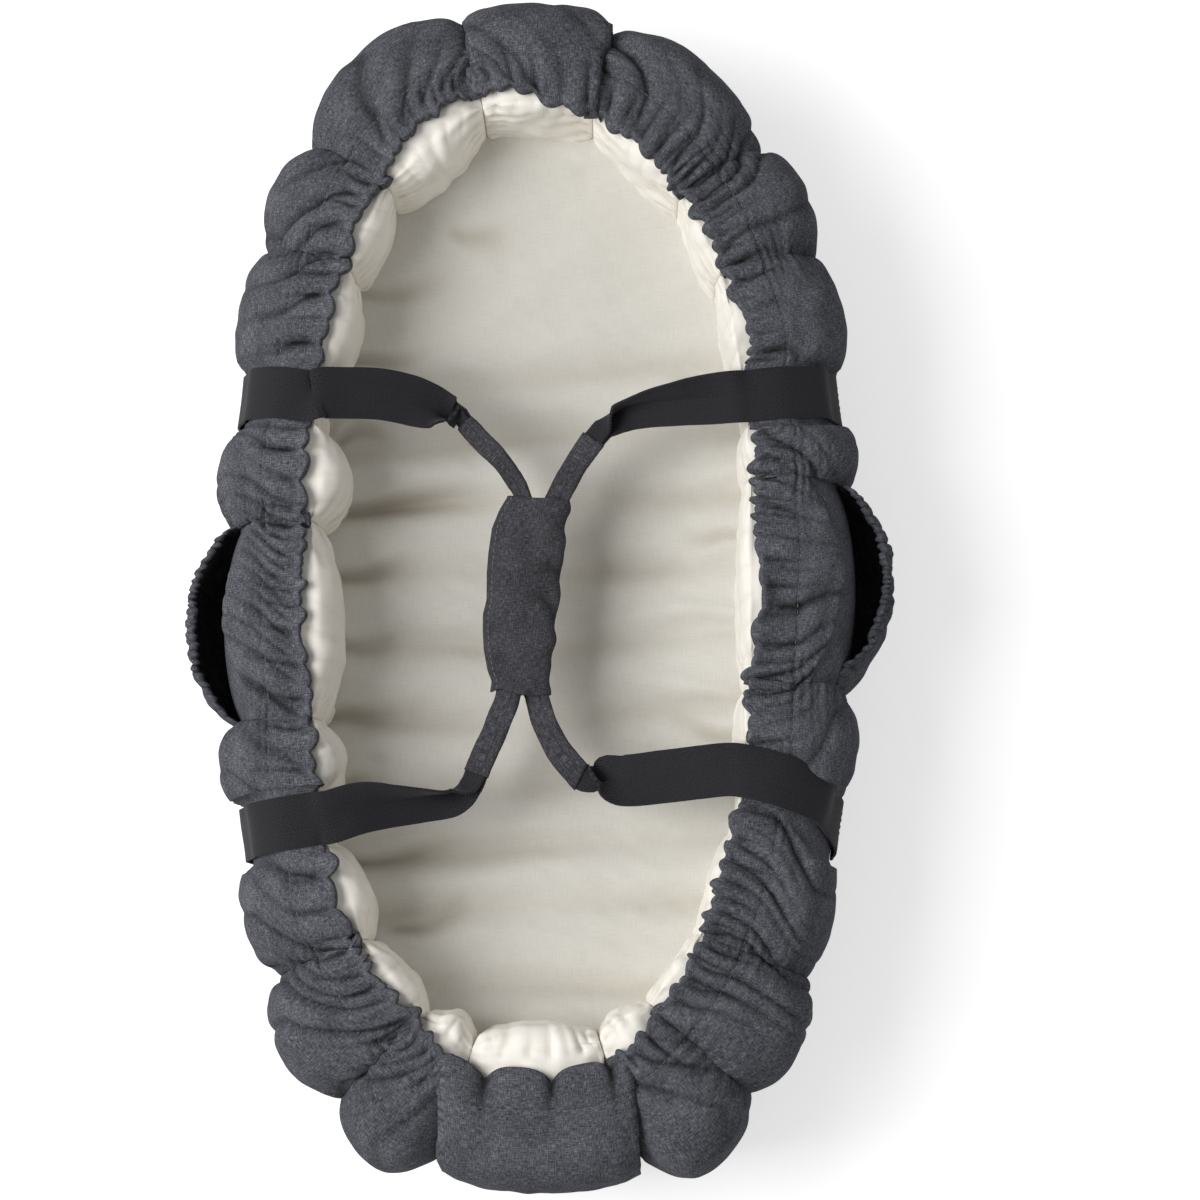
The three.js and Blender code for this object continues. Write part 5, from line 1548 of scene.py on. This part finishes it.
def tape_piece(name, height, node, body):
    """Hook or loop tape, sewn on along the wrap's left edge."""
    half = WRAP_LENGTH / 2 - TAPE_END_INSET
    along = np.linspace(-half, half, 70)[:, None]
    edge = WRAP_LEFT + TAPE_EDGE_INSET + np.interp(along, WRAP_EDGE_PLACES, WRAP_EDGE_INSETS)
    across = edge + np.linspace(0, TAPE_WIDTH, 5)
    points = wrap_place(across, along, np.array(height))
    piece = mesh_piece(name, points.reshape(-1, 3), grid_faces(*points.shape[:2]))
    add_thickness(piece, TAPE_THICKNESS)
    finish_piece(piece, body, hook_and_loop, "hook_and_loop", node)


def wrap_pieces():
    back = [
        (WRAP_LEFT + 1.5, WRAP_FLOOR - 0.2), (-10, WRAP_FLOOR - 0.6), (10, WRAP_FLOOR - 0.6),
        (WRAP_EDGE - 3, WRAP_FLOOR), (WRAP_EDGE, WRAP_FLOOR + 3), (WRAP_EDGE + 0.3, GRIP_HEIGHT - 0.3),
    ]
    wrap_sheet("wrap_under_layer", back[::-1], 0, 0.8, 4, "wrap_back", "right_handle")
    flap = [
        (WRAP_LEFT, WRAP_CLOSED + 0.7), (-25.5, GRIP_HEIGHT - 0.5), (-21, GRIP_HEIGHT + 5.4),
        (-14, WRAP_ROOF - 0.4), (-3, WRAP_ROOF + 1.4), (8.8, WRAP_ROOF + 1.6),
        (WRAP_EDGE - 4, WRAP_ROOF - 0.6), (WRAP_EDGE + 0.6, WRAP_ROOF - 4.5),
        (WRAP_EDGE + 0.6, GRIP_HEIGHT + 0.4),
    ]
    points, down = wrap_sheet("wrap_flap_layer", flap, 3, 1.6, 0, "wrap_flap", "wrap_flap")
    threads = new_store()
    normal = normals_of(points)
    row = int(np.argmin(np.abs(down - WRAP_STITCH_INSET)))
    sew(threads, points[:, row], normal[:, row])
    thread_piece("wrap_stitches", threads, "wrap_flap", "cover_cloth")
    tape_piece("loop_tape", WRAP_FLOOR + TOUCH_GAP + TAPE_THICKNESS, "loop_strip", "right_handle")
    tape_piece("hook_tape", WRAP_FLOOR + 2 * (TOUCH_GAP + TAPE_THICKNESS), "hook_strip", "wrap_flap")


wrap_pieces()

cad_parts["base_board"].data.materials.clear()
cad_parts["base_board"].data.materials.append(grey_board)


# Floor, light and camera, in metres

GROUND_SIZE = 14
GROUND_DROP = 0.0005
WORLD_LIGHT = 0.41
WINDOW_PLACE = (-1.75, -0.1, 2.3)
WINDOW_AIM = (0, 0, 0.1)
WINDOW_SIZE = 1.7
WINDOW_POWER = 70
CAMERA_EYE = Vector((0.0527, -0.304, 2.194))
CAMERA_AIM = Vector((0.0456, -0.0188, 0.185))
CAMERA_LENS = 85.3
CAMERA_SENSOR = 36


def floor_material():
    """White paper ground: it shows as white to the camera and keeps the lounger's shadow."""
    material, tree = new_material("white paper ground")
    seen = add_node(tree, "ShaderNodeLightPath")
    lit = add_node(tree, "ShaderNodeBsdfDiffuse", links={"Color": linear("#dddddd")})
    glow = add_node(tree, "ShaderNodeEmission", links={"Color": (1, 1, 1, 1), "Strength": 0.55})
    both = add_node(tree, "ShaderNodeAddShader", links={0: lit, 1: glow})
    plain = add_node(tree, "ShaderNodeBsdfDiffuse", links={"Color": linear("#d0d0d0")})
    camera_or_glossy = {0: seen.outputs["Is Camera Ray"], 1: seen.outputs["Is Glossy Ray"]}
    rays = add_node(tree, "ShaderNodeMath", {"operation": "MAXIMUM"}, camera_or_glossy)
    shader = add_node(tree, "ShaderNodeMixShader", links={0: rays, 1: plain, 2: both})
    add_node(tree, "ShaderNodeOutputMaterial", links={"Surface": shader})
    return material


bpy.ops.object.select_all(action="DESELECT")
bpy.ops.mesh.primitive_plane_add(size=GROUND_SIZE, location=(0, 0, 0))
ground = bpy.context.object
ground.name = "ground"
ground.location = (0, 0, -GROUND_DROP)
ground.data.materials.append(floor_material())

scene = bpy.context.scene
scene.view_settings.view_transform = "Standard"
world = bpy.data.worlds.new("studio")
scene.world = world
world.use_nodes = True
world.node_tree.nodes.clear()
daylight = {"Color": (1, 1, 1, 1), "Strength": WORLD_LIGHT}
sky = add_node(world.node_tree, "ShaderNodeBackground", links=daylight)
add_node(world.node_tree, "ShaderNodeOutputWorld", links={"Surface": sky})


def add_lamp(name, place, aim, size, energy):
    lamp = bpy.data.lights.new(name, "AREA")
    lamp.shape = "SQUARE"
    lamp.size = size
    lamp.energy = energy
    holder = new_object(name, lamp)
    holder.location = place
    holder.rotation_euler = (Vector(aim) - Vector(place)).to_track_quat("-Z", "Y").to_euler()


add_lamp("window", WINDOW_PLACE, WINDOW_AIM, WINDOW_SIZE, WINDOW_POWER)

camera = bpy.data.cameras.new("camera")
camera.sensor_width = CAMERA_SENSOR
camera.lens = CAMERA_LENS
back = (CAMERA_EYE - CAMERA_AIM).normalized()
right = Vector((0, 1, 0)).cross(back).normalized()
above = back.cross(right)
holder = new_object("camera", camera)
turned = Matrix((right, above, back)).transposed().to_4x4()
holder.matrix_world = Matrix.Translation(CAMERA_EYE) @ turned
scene.camera = holder
